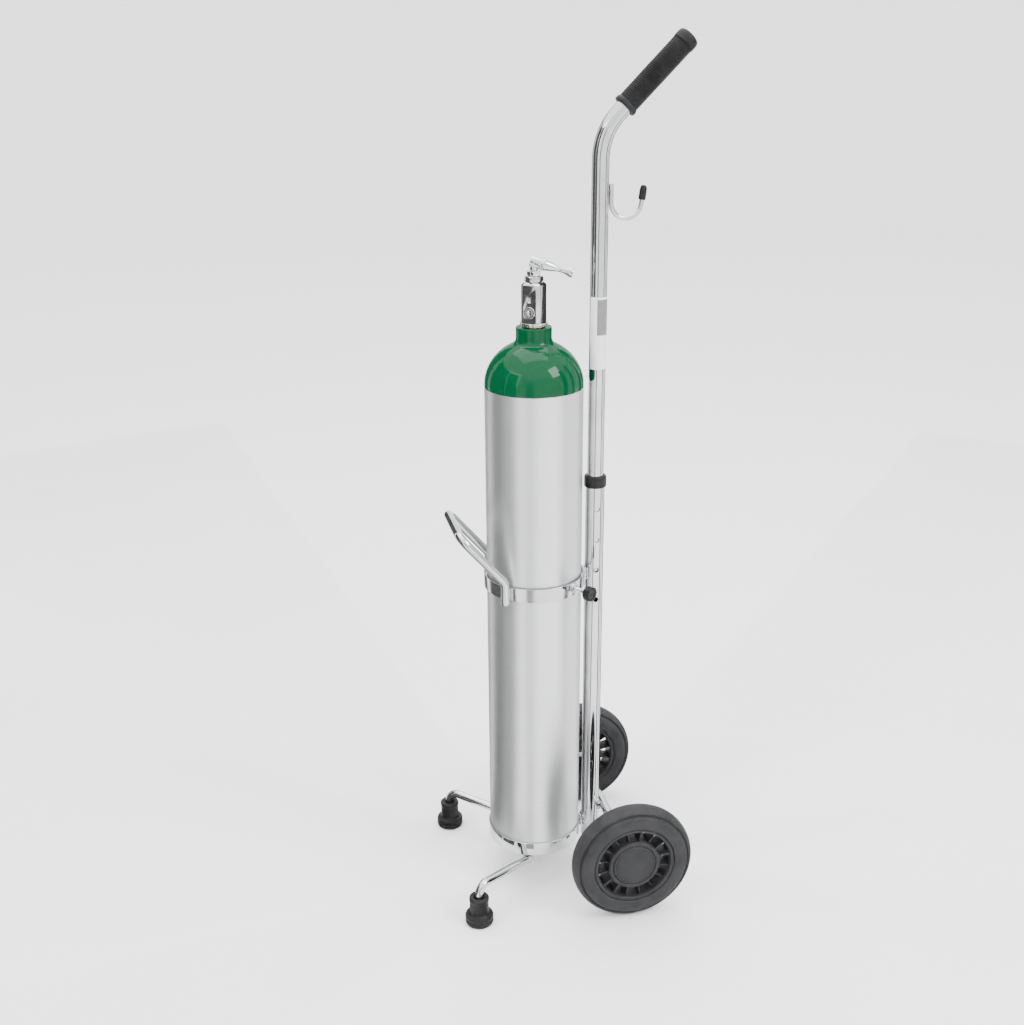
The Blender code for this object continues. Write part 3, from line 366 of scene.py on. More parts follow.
def make_grain():
    """Moulded skin: a fine bump of two noises, one for the texture and one for slow waviness."""
    group, start, end = effect(
        "moulded_grain",
        [("Vector", "NodeSocketVector", None), ("Scale", "NodeSocketFloat", 1500.0),
         ("Strength", "NodeSocketFloat", 0.2), ("Depth", "NodeSocketFloat", 0.0001)],
        [("Normal", "NodeSocketVector")],
    )
    fine = noise(group, start.outputs["Vector"], start.outputs["Scale"], 3.0, 0.6)
    slow = noise(group, start.outputs["Vector"], 90.0, 2.0)
    height = sum_of(group, "ADD", fine, sum_of(group, "MULTIPLY", slow, 0.8))
    bump = group.nodes.new("ShaderNodeBump")
    group.links.new(height, bump.inputs["Height"])
    group.links.new(start.outputs["Strength"], bump.inputs["Strength"])
    group.links.new(start.outputs["Depth"], bump.inputs["Distance"])
    group.links.new(bump.outputs["Normal"], end.inputs["Normal"])
    return group


def make_dust():
    """Dust that settles on faces that look up: a mask from the surface's upward slope, broken up by noise."""
    group, start, end = effect(
        "settled_dust",
        [("Vector", "NodeSocketVector", None), ("Amount", "NodeSocketFloat", 0.3)],
        [("Mask", "NodeSocketFloat")],
    )
    shape = group.nodes.new("ShaderNodeNewGeometry")
    split = group.nodes.new("ShaderNodeSeparateXYZ")
    group.links.new(shape.outputs["Normal"], split.inputs[0])
    up = spread(group, split.outputs["Z"], 0.1, 1.0, 0.0, 1.0)
    patchy = spread(group, noise(group, start.outputs["Vector"], 160.0, 6.0, 0.7), 0.35, 0.75, 0.25, 1.0)
    mask = sum_of(group, "MULTIPLY", sum_of(group, "MULTIPLY", up, patchy), start.outputs["Amount"])
    group.links.new(mask, end.inputs["Mask"])
    return group


def make_hairlines():
    """Brushing: streaks from a noise pressed flat along one axis, given as a value."""
    group, start, end = effect(
        "brushed_hairlines",
        [("Vector", "NodeSocketVector", None)],
        [("Value", "NodeSocketFloat")],
    )
    fine = noise(group, stretched(group, start.outputs["Vector"], (14, 14, 2600)), 1.0, 3.0, 0.6)
    wide = noise(group, stretched(group, start.outputs["Vector"], (5, 5, 420)), 1.0, 4.0, 0.6)
    value = sum_of(group, "ADD", sum_of(group, "MULTIPLY", fine, 0.85), sum_of(group, "MULTIPLY", wide, 0.15))
    group.links.new(value, end.inputs["Value"])
    return group


def make_specks():
    """Small specks: a mask of the few places where a fine noise rises past a threshold."""
    group, start, end = effect(
        "specks",
        [("Vector", "NodeSocketVector", None), ("Scale", "NodeSocketFloat", 400.0),
         ("Threshold", "NodeSocketFloat", 0.68)],
        [("Mask", "NodeSocketFloat")],
    )
    value = noise(group, start.outputs["Vector"], start.outputs["Scale"], 2.0)
    high = sum_of(group, "ADD", start.outputs["Threshold"], 0.04)
    group.links.new(spread(group, value, start.outputs["Threshold"], high, 0.0, 1.0), end.inputs["Mask"])
    return group


SMUDGES, GRAIN, DUST, HAIRLINES, SPECKS = make_smudges(), make_grain(), make_dust(), make_hairlines(), make_specks()


class Finish:
    """A material with one Principled BSDF and short ways to feed it."""

    def __init__(self, name, colour, roughness=0.5, metallic=0.0):
        """Makes the material with its plain colour, roughness and metal share."""
        self.material = bpy.data.materials.new(name)
        self.material.use_nodes = True
        self.tree = self.material.node_tree
        self.shader = self.tree.nodes["Principled BSDF"]
        self.place = self.tree.nodes.new("ShaderNodeTexCoord").outputs["Object"]
        self.set("Base Color", (*colour, 1))
        self.set("Roughness", roughness)
        self.set("Metallic", metallic)

    def set(self, label, value):
        """Sets a constant straight on the shader's socket."""
        self.shader.inputs[label].default_value = value

    def feed(self, label, output):
        """Drives a socket of the shader from a node's output."""
        self.tree.links.new(output, self.shader.inputs[label])

    def use(self, group, vector=None, **values):
        """Adds a shared effect at the object's own coordinates and gives its outputs."""
        node = self.tree.nodes.new("ShaderNodeGroup")
        node.node_tree = group
        self.tree.links.new(vector or self.place, node.inputs["Vector"])
        for label, value in values.items():
            node.inputs[label].default_value = value
        return node.outputs

    def blend(self, mask, first, second):
        """One colour over another by a mask. Each is a colour or an output."""
        node = self.tree.nodes.new("ShaderNodeMix")
        node.data_type = "RGBA"
        self.tree.links.new(mask, node.inputs["Factor"])
        for label, source in (("A", first), ("B", second)):
            socket = next(s for s in node.inputs if s.name == label and s.type == "RGBA")
            if isinstance(source, tuple):
                socket.default_value = (*source, 1)
            else:
                self.tree.links.new(source, socket)
        return next(s for s in node.outputs if s.type == "RGBA")

    def height(self):
        """The height of a point in the object's own space."""
        split = self.tree.nodes.new("ShaderNodeSeparateXYZ")
        self.tree.links.new(self.place, split.inputs[0])
        return split.outputs["Z"]


def make_chrome(name, colour, low, high, scale):
    """Plated metal whose roughness and shade drift between handled and clean places."""
    finish = Finish(name, colour, low, 1.0)
    marks = finish.use(SMUDGES, Scale=scale, Low=low, High=high)
    finish.feed("Roughness", marks["Roughness"])
    darker = tuple(c * 0.86 for c in colour)
    finish.feed("Base Color", finish.blend(marks["Mask"], colour, darker))
    finish.feed("Normal", finish.use(GRAIN, Scale=700.0, Strength=0.05, Depth=0.00004)["Normal"])
    return finish.material


def make_black(name, colour, low, high, grain, strength, dust, dust_colour):
    """Black rubber or plastic: grained, a little shinier in patches, with pale dust on top."""
    finish = Finish(name, colour, low, 0.0)
    finish.set("Specular IOR Level", 0.16)
    marks = finish.use(SMUDGES, Scale=45.0, Low=low, High=high)
    finish.feed("Roughness", marks["Roughness"])
    lighter = tuple(c * 1.5 + 0.004 for c in colour)
    body = finish.blend(marks["Mask"], colour, lighter)
    settled = finish.use(DUST, Amount=dust)["Mask"]
    finish.feed("Base Color", finish.blend(settled, body, dust_colour))
    finish.feed("Normal", finish.use(GRAIN, Scale=grain, Strength=strength, Depth=0.00012)["Normal"])
    return finish.material


def make_cylinder_finish(line):
    """Brushed aluminium below a height and glossy green enamel above it, with a slightly uneven edge."""
    finish = Finish("green_enamel_over_brushed_aluminium", (0.0, 0.1, 0.05), 0.3, 0.0)
    finish.set("Anisotropic", 0.35)
    finish.set("Anisotropic Rotation", 0.25)
    finish.set("Coat Roughness", 0.06)
    finish.set("Specular IOR Level", 0.0)
    tree = finish.tree
    edge = noise(tree, stretched(tree, finish.place, (1, 1, 0.2)), 120.0, 5.0)
    uneven = sum_of(tree, "ADD", finish.height(), sum_of(tree, "MULTIPLY", edge, 0.0011))
    green = spread(tree, uneven, line + 0.0003, line + 0.0007, 0.0, 1.0)
    rub = spread(tree, uneven, line - 0.0016, line + 0.0004, 0.0, 1.0)
    lines = finish.use(HAIRLINES)
    drift = noise(tree, finish.place, 9.0, 3.0)
    metal = finish.blend(spread(tree, lines["Value"], 0.3, 0.7, 0.0, 1.0), (0.60, 0.605, 0.61), (0.72, 0.725, 0.73))
    metal = finish.blend(spread(tree, drift, 0.35, 0.7, 0.0, 0.5), metal, (0.74, 0.75, 0.77))
    metal = finish.blend(sum_of(tree, "MULTIPLY", rub, 0.35), metal, (0.42, 0.47, 0.44))
    enamel = finish.blend(spread(tree, drift, 0.3, 0.75, 0.0, 1.0), (0.0002, 0.046, 0.016), (0.0004, 0.058, 0.021))
    specks = finish.use(SPECKS, Scale=700.0, Threshold=0.735)["Mask"]
    enamel = finish.blend(sum_of(tree, "MULTIPLY", specks, 0.35), enamel, (0.05, 0.18, 0.11))
    finish.feed("Base Color", finish.blend(green, metal, enamel))
    finish.feed("Metallic", spread(tree, green, 0.0, 1.0, 1.0, 0.0))
    metal_rough = spread(tree, lines["Value"], 0.3, 0.7, 0.38, 0.50)
    enamel_rough = finish.use(SMUDGES, Scale=30.0, Low=0.10, High=0.19)["Roughness"]
    mixed = tree.nodes.new("ShaderNodeMix")
    tree.links.new(green, mixed.inputs[0])
    tree.links.new(metal_rough, mixed.inputs[2])
    tree.links.new(enamel_rough, mixed.inputs[3])
    finish.feed("Roughness", mixed.outputs[0])
    finish.feed("Coat Weight", spread(tree, green, 0.0, 1.0, 0.0, 0.36))
    peel = noise(tree, finish.place, 210.0, 3.0)
    lift = sum_of(tree, "MULTIPLY", green, sum_of(tree, "ADD", sum_of(tree, "MULTIPLY", peel, 0.35), 1.0))
    bare = sum_of(tree, "MULTIPLY", sum_of(tree, "SUBTRACT", 1.0, green), sum_of(tree, "MULTIPLY", lines["Value"], 0.5))
    bump = tree.nodes.new("ShaderNodeBump")
    bump.inputs["Strength"].default_value = 0.35
    bump.inputs["Distance"].default_value = 0.00015
    tree.links.new(sum_of(tree, "ADD", lift, bare), bump.inputs["Height"])
    finish.feed("Normal", bump.outputs["Normal"])
    return finish.material


def make_label(centre, low, high):
    """White film with a plain grey block near its top and faint handling marks."""
    finish = Finish("white_label_film", (0.8, 0.8, 0.8), 0.3, 0.0)
    finish.set("Coat Weight", 0.4)
    finish.set("Coat Roughness", 0.12)
    tree = finish.tree
    split = tree.nodes.new("ShaderNodeSeparateXYZ")
    tree.links.new(finish.place, split.inputs[0])
    across = sum_of(tree, "SUBTRACT", split.outputs["Y"], float(centre[1]))
    along = sum_of(tree, "SUBTRACT", split.outputs["X"], float(centre[0]))
    turn = tree.nodes.new("ShaderNodeMath")
    turn.operation = "ARCTAN2"
    tree.links.new(across, turn.inputs[0])
    tree.links.new(along, turn.inputs[1])
    height = split.outputs["Z"]
    tall = high - low
    right = spread(tree, turn.outputs[0], -0.385, -0.365, 0.0, 1.0)
    left = spread(tree, turn.outputs[0], 1.95, 1.97, 1.0, 0.0)
    above = spread(tree, height, low + tall * 0.475, low + tall * 0.479, 0.0, 1.0)
    below = spread(tree, height, high - tall * 0.035, high - tall * 0.031, 1.0, 0.0)
    block = sum_of(tree, "MULTIPLY", sum_of(tree, "MULTIPLY", right, left), sum_of(tree, "MULTIPLY", above, below))
    marks = finish.use(SMUDGES, Scale=60.0, Low=0.22, High=0.42)
    film = finish.blend(marks["Mask"], (0.80, 0.80, 0.80), (0.70, 0.70, 0.69))
    print_grain = spread(tree, noise(tree, finish.place, 1800.0, 2.0), 0.3, 0.7, 0.0, 1.0)
    ink = finish.blend(print_grain, (0.125, 0.125, 0.13), (0.165, 0.165, 0.17))
    finish.feed("Base Color", finish.blend(block, film, ink))
    finish.feed("Roughness", marks["Roughness"])
    finish.feed("Normal", finish.use(GRAIN, Scale=900.0, Strength=0.08, Depth=0.00005)["Normal"])
    return finish.material


def make_floor_finish():
    """A pale matt floor with a very slow change of tone."""
    finish = Finish("pale_floor", (0.86, 0.86, 0.86), 0.6, 0.0)
    finish.feed(
        "Base Color",
        finish.blend(noise(finish.tree, finish.place, 1.5, 3.0), (0.86, 0.86, 0.865), (0.89, 0.89, 0.89))
    )
    finish.feed("Roughness", finish.use(SMUDGES, Scale=3.0, Low=0.5, High=0.62)["Roughness"])
    return finish.material


bright_chrome = make_chrome("polished_chrome", (0.58, 0.585, 0.595), 0.035, 0.11, 26.0)
satin_chrome = make_chrome("satin_chrome_band", (0.54, 0.54, 0.55), 0.12, 0.24, 40.0)
valve_chrome = make_chrome("valve_chrome", (0.48, 0.48, 0.48), 0.07, 0.17, 90.0)
zinc = make_chrome("zinc_plate", (0.56, 0.57, 0.60), 0.22, 0.40, 120.0)
weld_metal = make_chrome("weld_metal", (0.46, 0.46, 0.47), 0.14, 0.34, 260.0)
brass = make_chrome("machined_brass", (0.80, 0.67, 0.46), 0.16, 0.32, 150.0)
black_rubber = make_black("black_rubber", (0.007, 0.007, 0.0075), 0.40, 0.58, 1300.0, 0.35, 0.05, (0.08, 0.08, 0.08))
foot_rubber = make_black("foot_rubber", (0.006, 0.006, 0.0065), 0.36, 0.55, 1100.0, 0.40, 0.06, (0.09, 0.085, 0.08))
black_plastic = make_black("black_plastic", (0.008, 0.008, 0.0085), 0.26, 0.42, 1700.0, 0.28, 0.03, (0.06, 0.06, 0.06))
tyre_grey = make_black("grey_tyre", (0.016, 0.016, 0.017), 0.46, 0.66, 1000.0, 0.45, 0.12, (0.12, 0.12, 0.12))
hub_plastic = make_black("hub_plastic", (0.014, 0.014, 0.015), 0.34, 0.52, 1500.0, 0.40, 0.08, (0.08, 0.08, 0.08))
seal_rubber = make_black("seal_rubber", (0.012, 0.012, 0.012), 0.40, 0.55, 1500.0, 0.2, 0.0, (0.1, 0.1, 0.1))


# ---------------------------------------------------------------- the cylinder

axis = middle("cylinder_shell")
axis[2] = 0
up = spot(axis, AXIS_Z)
shell_low, shell_high = low_z("cylinder_shell"), high_z("cylinder_shell")
paint_line = 0.6282
enamel = make_cylinder_finish(paint_line)


def cylinder_profile():
    """Half the cylinder's outline: dished base, rolled edge, straight wall, elliptic dome, fillet, neck, mouth."""
    wall, neck, mouth = size("cylinder_shell")[0] / 2, 0.0200, 0.0122
    dome, fillet = 0.0510, 0.0080
    neck_base = shell_high - 0.0118
    guess = neck + fillet / 2
    slope = np.arctan(dome / wall * guess / np.sqrt(wall**2 - guess**2))
    meet = neck + fillet - fillet * np.sin(slope)
    dome_base = neck_base - fillet * np.cos(slope) - dome * np.sqrt(1 - (meet / wall) ** 2)
    roll = np.linspace(-np.pi / 2, 0, 14)
    edge = np.column_stack([wall - 0.0100 + 0.0100 * np.cos(roll), shell_low + 0.0100 + 0.0100 * np.sin(roll)])
    dish = np.array([(0, shell_low + 0.006), (0.02, shell_low + 0.005), (0.038, shell_low + 0.0012)])
    straight = np.column_stack([np.full(60, wall), np.linspace(shell_low + 0.0105, dome_base - 0.0005, 60)])
    rise = np.linspace(0, np.arccos(meet / wall), 44)
    crown = np.column_stack([wall * np.cos(rise), dome_base + dome * np.sin(rise)])
    sweep = np.linspace(np.pi * 1.5 - slope, np.pi, 14)[1:]
    blend = np.column_stack([neck + fillet + fillet * np.cos(sweep), neck_base + fillet * np.sin(sweep)])
    top = softened(
        [
            (neck, shell_high - 0.006), (neck, shell_high), (mouth, shell_high), (mouth, shell_high - 0.012),
            (0, shell_high - 0.012)
        ],
        0.0007
    )
    return np.concatenate([dish, edge, straight, crown, blend, top])


piece("cylinder", turned(cylinder_profile(), 192), enamel, "cylinder", ["cylinder_shell"], up, crease=45)

# ---------------------------------------------------------------- the valve

neck_top = shell_high
valve_turn = np.radians(-38)
face = np.array((np.cos(valve_turn), np.sin(valve_turn), 0))
valve = spot(axis + AXIS_Z * neck_top, AXIS_Z, face)
post_half = 0.0115
post_top = high_z("valve_body") - neck_top
post_low = 0.0031


def on_face(height, direction=1):
    """The place on the valve's axis at a height, with local Z out through a face."""
    return np.array(spot(np.array((0, 0, height)), AXIS_X * direction, AXIS_Z))


def local(mesh, place):
    """A mesh moved by a placement."""
    mesh.transform(Matrix(np.asarray(place).tolist()))
    return mesh


def valve_post():
    """The square post: an eight-cornered prism whose top slopes in, with its dimple, pockets and pin holes cut."""
    short = post_half - 0.0034
    corners = [(post_half, -short), (post_half, short), (short, post_half), (-short, post_half)]
    corners += [(-x, -y) for x, y in corners]
    blank = prism(corners, post_low, post_top, top_inset=(0.0025, 1 - 0.0025 / post_half))
    cone = turned(
        [(0, post_half - 0.0036), (0.0034, post_half), (0.0034, post_half + 0.002), (0, post_half + 0.002)],
        48
    )
    pocket = turned(
        [(0, post_half - 0.0022), (0.0068, post_half - 0.0022), (0.0068, post_half + 0.002), (0, post_half + 0.002)],
        56
    )
    port = turned(
        [
            (0, 0.004), (0.0018, 0.004), (0.0018, post_half - 0.0012), (0.0048, post_half - 0.0012),
            (0.0048, post_half + 0.002), (0, post_half + 0.002)
        ],
        44
    )
    port_z, relief_z = post_low + 0.0023 + 0.0255, post_low + 0.0023 + 0.0114
    cuts = [local(cone, on_face(port_z)), local(pocket, on_face(relief_z)), local(port, on_face(port_z, -1))]
    for side in (-1, 1):
        hole = turned(
            [
                (0, post_half - 0.0055), (0.0024, post_half - 0.0055), (0.0024, post_half + 0.002),
                (0, post_half + 0.002)
            ],
            32
        )
        place = on_face(port_z - 0.0143 * np.cos(np.radians(18)), -1)
        place[1, 3] = side * 0.0143 * np.sin(np.radians(18))
        cuts.append(local(hole, place))
    return machined(blank, cuts=cuts, bevel=0.00045, steps=3), relief_z


post, relief_z = valve_post()
flange = turned(softened([(0, 0.0031), (0.0155, 0.0031), (0.0155, 0.0054), (0, 0.0054)], 0.0005), 96)
spigot = turned([(0, -0.0115), (0.0092, -0.0115), (0.0092, 0.0034), (0, 0.0034)], 64)
piece("valve_post", post, valve_chrome, "cylinder", ["valve_body"], valve, crease=28)
piece("valve_flange", joined(flange, spigot), bright_chrome, "cylinder", place=valve)
washer_line = [
    (0.0100, 0.0003), (0.0128, 0.0003), (0.0128, 0.0016), (0.0124, 0.0019), (0.0124, 0.0028), (0.0100, 0.0028)
]
piece(
    "neck_collar", turned(softened(washer_line, 0.00025), 96, True), brass, "cylinder",
    ["neck_washer"], valve
)

plug_line = [
    (0, 0.0), (0.0064, 0.0), (0.0064, 0.0020), (0.0060, 0.0024), (0.0052, 0.0024), (0.0050, 0.0017),
    (0.0040, 0.0017), (0.0038, 0.0024), (0.0032, 0.0024), (0.0030, 0.0012), (0, 0.0006)
]
relief = local(
    turned(softened(plug_line, 0.00018), 72),
    on_face(relief_z) @ np.array(Matrix.Translation((0, 0, post_half - 0.0019)))
)
piece("relief_plug", relief, bright_chrome, "cylinder", ["safety_plug", "burst_disc"], valve)


def hex_nut(corner, low, high, chamfer, turn=0.0):
    """A hexagonal nut: a six-sided prism kept inside a barrel whose ends are chamfered."""
    blank = prism(polygon(6, corner, turn), low, high)
    flat = corner * np.cos(np.pi / 6)
    barrel = turned(
        [
            (0, low), (flat - 0.0002, low), (corner, low + chamfer), (corner, high - chamfer),
            (flat - 0.0002, high), (0, high)
        ],
        72
    )
    return machined(blank, keep=[barrel], bevel=0.00018, steps=2)


bonnet_low, bonnet_high = post_top + 0.0003, post_top + 0.0067
piece(
    "bonnet_hexagon", hex_nut(0.0105, bonnet_low, bonnet_high, 0.0011), valve_chrome, "cylinder",
    ["bonnet_nut"], valve, crease=25
)
packing_low, packing_high = low_z("packing_nut") - neck_top, high_z("packing_nut") - neck_top
neck_ring = turned(
    softened(
        [
            (0, packing_low - 0.0003), (0.0066, packing_low - 0.0003), (0.0066, packing_low + 0.0009),
            (0, packing_low + 0.0009)
        ],
        0.0002
    ),
    64
)
piece(
    "packing_hexagon",
    joined(hex_nut(0.0083, packing_low + 0.0005, packing_high, 0.0009, np.radians(20)), neck_ring),
    bright_chrome, "cylinder", ["packing_nut"], valve, crease=25
)

# ---------------------------------------------------------------- the toggle

toggle_turn = np.radians(75)
lever_way = np.array((np.cos(toggle_turn), np.sin(toggle_turn), 0))
head_height = 0.0704
tilt = np.radians(16)
lever_axis = lever_way * np.cos(tilt) - AXIS_Z * np.sin(tilt)
head_centre = axis + AXIS_Z * (neck_top + head_height)
along_lever = spot(head_centre, lever_axis, AXIS_Z)
stem_place = spot(axis + AXIS_Z * neck_top, AXIS_Z, lever_way)
head_line = [(0, -0.0042), (0.0060, -0.0042), (0.0060, 0.0085), (0.0052, 0.0085), (0, 0.0085)]
head = local(turned(softened(head_line, 0.0005), 96), np.array(along_lever))
boss_line = [
    (0, packing_high + 0.0003), (0.0040, packing_high + 0.0003), (0.0045, packing_high + 0.0012),
    (0.0045, head_height), (0, head_height)
]
boss = local(turned(softened(boss_line, 0.0003), 64), np.array(stem_place))
piece("toggle_hub", joined(head, boss), bright_chrome, "toggle", ["toggle_head"])
LEVER = np.array([
    (0.0060, 0.000), (0.0066, 0.020), (0.0067, 0.060), (0.0066, 0.100), (0.0061, 0.160), (0.0052, 0.270),
    (0.0040, 0.400), (0.0031, 0.520), (0.0028, 0.600), (0.0030, 0.670), (0.0038, 0.770), (0.0048, 0.860),
    (0.0054, 0.930), (0.0054, 0.975), (0.0049, 1.000), (0.0, 1.002),
])


def lever_profile():
    """The lever's outline: a smooth curve through its radii, with a groove by the hub and a dished end."""
    share = np.linspace(0.02, 0.975, 60)
    radius = np.interp(share, LEVER[:, 1], LEVER[:, 0])
    kernel = np.ones(7) / 7
    radius[3:-3] = np.convolve(radius, kernel, "valid")
    start, length = 0.0088, 0.0355
    body = np.column_stack([radius, start + share * length])
    root = [(0, start - 0.004), (0.0026, start - 0.004), (0.0026, start), (0.0061, start)]
    tip_z = start + length
    tip = [(0.0050, tip_z), (0.0042, tip_z + 0.0001), (0.0034, tip_z - 0.0006), (0, tip_z - 0.0009)]
    return np.concatenate([root, body, tip])


piece(
    "toggle_lever_arm", turned(lever_profile(), 80), bright_chrome, "toggle", ["toggle_lever"],
    along_lever, crease=40
)
pin_line = softened([(0, -0.00605), (0.0014, -0.00605), (0.0014, 0.00605), (0, 0.00605)], 0.0003)
piece(
    "toggle_pin", turned(pin_line, 40), zinc, "toggle", ["lever_pin"],
    spot(head_centre, np.cross(AXIS_Z, lever_way), AXIS_Z)
)

# ---------------------------------------------------------------- the upright

upright = middle("lower_tube")
upright[2] = 0
lower_low, lower_high = low_z("lower_tube"), high_z("lower_tube")
lower_radius = size("lower_tube")[0] / 2
lock_height, lock_pitch = 0.4020, 0.0381


def punched_tube():
    """The fixed tube: a closed ring-section revolved in close rows, with its height holes cut through one wall."""
    bore = lower_radius - 0.0013
    rows = np.linspace(lower_low, lower_high, 150)
    outer = np.column_stack([np.full(150, lower_radius), rows])
    inner = np.column_stack([np.full(150, bore), rows[::-1]])
    blank = turned(np.concatenate([outer, inner]), 97, closed=True)
    cuts = []
    for row in range(-1, 3):
        hole = turned([(0, 0.004), (0.0033, 0.004), (0.0033, 0.02), (0, 0.02)], 40)
        cuts.append(local(hole, np.array(spot(AXIS_Z * (lock_height + row * lock_pitch), AXIS_X, AXIS_Z))))
    return machined(blank, cuts=cuts)


stand = spot(upright, AXIS_Z)
piece("fixed_tube", punched_tube(), bright_chrome, "frame", ["lower_tube"], stand, crease=40)
plug_line = softened([(0, 0.0307), (0.0104, 0.0307), (0.0111, 0.0315), (0.0111, 0.0327), (0, 0.0327)], 0.0003)
piece("tube_end_plug", turned(plug_line, 64), black_plastic, "frame", ["tube_plug"], stand)
collar_low, collar_high = low_z("height_collar"), high_z("height_collar")
collar_line = [
    (0.01145, collar_low), (0.0124, collar_low), (0.0130, collar_low + 0.0009), (0.0130, collar_high - 0.0028),
    (0.0126, collar_high - 0.0010), (0.0115, collar_high), (0.0100, collar_high), (0.0100, collar_high - 0.0037),
    (0.01145, collar_high - 0.0037),
]
piece(
    "height_collar_sleeve", turned(softened(collar_line, 0.0006), 96, True), black_plastic, "frame",
    ["height_collar"], stand
)

upper_radius = 0.0095
grip_low, grip_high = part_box("hand_grip")
flange_radius = (grip_high.x - grip_low.x) / 2
lean = unit(np.array((0, 1.0, 1.0)))
grip_start = np.array((upright[0], grip_low.y + flange_radius * lean[1], grip_low.z + flange_radius * lean[2]))
corner = grip_start - lean * 0.0346
upper_low = low_z("upper_tube")


def sliding_tube():
    """The sliding tube: a bar along a straight, an arc of 68 mm and a second straight into the grip."""
    path = bent([upright + AXIS_Z * upper_low, upright + AXIS_Z * corner[2], corner + lean * 0.1290], [0.0680], 40)
    rows = np.linspace(0, 1, 60)[:, None]
    straight = path[0] + (path[1] - path[0]) * rows
    path = np.concatenate([straight, path[2:]])
    blank = swept(path, upper_radius, 72, AXIS_X)
    hole = turned([(0, 0.0030), (0.0033, 0.0030), (0.0033, 0.02), (0, 0.02)], 36)
    return machined(blank, cuts=[local(hole, np.array(spot(upright + AXIS_Z * lock_height, AXIS_X, AXIS_Z)))])


piece("sliding_tube", sliding_tube(), bright_chrome, "handle", ["upper_tube", "button_spring"], crease=40)
button_line = softened(
    [(0, 0.0034), (0.0030, 0.0034), (0.0030, 0.0080), (0.0026, 0.0090), (0.0016, 0.0094), (0, 0.0095)], 0.0005
)
piece(
    "lock_button", turned(button_line, 48), zinc, "button", ["snap_button"],
    spot(upright + AXIS_Z * lock_height, AXIS_X, AXIS_Z)
)


def grip_profile():
    """The grip's outline: a flared flange, ring ribs whose height follows a raised cosine, and a smooth cap."""
    length, rib_start, rib_end, ribs = 0.1000, 0.0062, 0.0870, 38
    run = np.linspace(rib_start, rib_end, ribs * 9)
    wave = 0.5 + 0.5 * np.cos((run - rib_start) / (rib_end - rib_start) * TAU * ribs)
    body = np.column_stack([0.01135 + 0.00075 * np.clip(wave * 1.35, 0, 1), run])
    flange = softened(
        [(0.0098, 0.0), (0.0128, 0.0), (0.0133, 0.0012), (0.0133, 0.0040), (0.0124, 0.0056), (0.0113, 0.0060)],
        0.0005
    )
    cap = softened(
        [
            (0.0113, 0.0876), (0.0125, 0.0884), (0.0125, length - 0.0048), (0.0118, length - 0.0020),
            (0.0092, length - 0.0002), (0, length)
        ],
        0.0016, 6
    )
    inside = np.array([(0, length - 0.005), (0.0098, length - 0.005)])
    return np.concatenate([flange, body, cap, inside])


piece(
    "ribbed_grip", turned(grip_profile(), 96, closed=True), black_rubber, "handle", ["hand_grip"],
    spot(grip_start, lean, AXIS_X), crease=50
)

label_low, label_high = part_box("label_sleeve")


def label_film():
    """The label: a thin curved strip between two angles round the tube, with each end drawn in to a point at its
    middle.
    """
    angle = np.linspace(np.radians(-70), np.radians(130), 90)
    inner, outer = upper_radius + 0.00022, upper_radius + 0.00042
    heights = np.linspace(label_low.z, label_high.z, 30)
    section = np.concatenate([
        np.column_stack([np.full(30, outer), heights]), np.column_stack([np.full(30, inner), heights[::-1]])
    ])
    points = np.stack(
        [
            section[None, :, 0] * np.cos(angle)[:, None], section[None, :, 0] * np.sin(angle)[:, None],
            np.repeat(section[None, :, 1], 90, 0)
        ],
        -1
    )
    points = np.concatenate([
        np.repeat(points[:1].mean(1, keepdims=True), 60, 1), points,
        np.repeat(points[-1:].mean(1, keepdims=True), 60, 1)
    ])
    return grid(points)


label_paint = make_label(upright, label_low.z, label_high.z)
piece("plain_label", label_film(), label_paint, "handle", ["label_sleeve"], stand)

hook_low, hook_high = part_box("hook_rod")
hook_radius = (hook_high.x - hook_low.x) / 2
stub_y = hook_low.y + hook_radius
hook_top = 0.8450


def hook_path():
    """The hook: straight down beside the tube, round a half circle of 17 mm, and up to its tip."""
    centre = np.array((upright[0], stub_y + 0.0170, 0.8250))
    angle = np.linspace(0, np.radians(172), 40)[:, None]
    bend = centre + 0.0170 * (-AXIS_Y * np.cos(angle) - AXIS_Z * np.sin(angle))
    rise = AXIS_Y * np.sin(np.radians(172)) - AXIS_Z * np.cos(np.radians(172))
    root = np.array((upright[0], stub_y, hook_top))
    start = root + (bend[0] - root) * np.linspace(0, 1, 8)[:-1, None]
    return np.concatenate([start, bend, bend[-1] + rise * np.linspace(0.002, 0.0185, 8)[:, None]]), bend[-1], rise


path, hook_root, hook_rise = hook_path()
piece("bag_hook", swept(path, hook_radius, 32, AXIS_X), bright_chrome, "handle", ["hook_rod"])
cap_line = softened(
    [
        (0.0028, 0.0048), (0.0036, 0.0045), (0.0040, 0.0054), (0.0040, 0.0150), (0.0034, 0.0186),
        (0.0020, 0.0201), (0, 0.0202), (0, 0.0190), (0.0028, 0.0190)
    ],
    0.0012
)
piece(
    "hook_tip_cap", turned(cap_line, 48, True), black_rubber, "handle", ["hook_cap"],
    spot(hook_root, hook_rise, AXIS_X)
)
piece("hook_weld", joined(
    weld_bead(
        (upright[0] + 0.0020, stub_y - 0.0014, 0.8290), (upright[0] + 0.0020, stub_y - 0.0014, 0.8440),
        np.array((0.7, 0.3, 0)), 0.0010, 6, 3
    ),
    weld_bead(
        (upright[0] - 0.0020, stub_y - 0.0014, 0.8290), (upright[0] - 0.0020, stub_y - 0.0014, 0.8440),
        np.array((-0.7, 0.3, 0)), 0.0010, 6, 4
    ),
), weld_metal, "handle")

# ---------------------------------------------------------------- the ring, its bail and its thumb screw

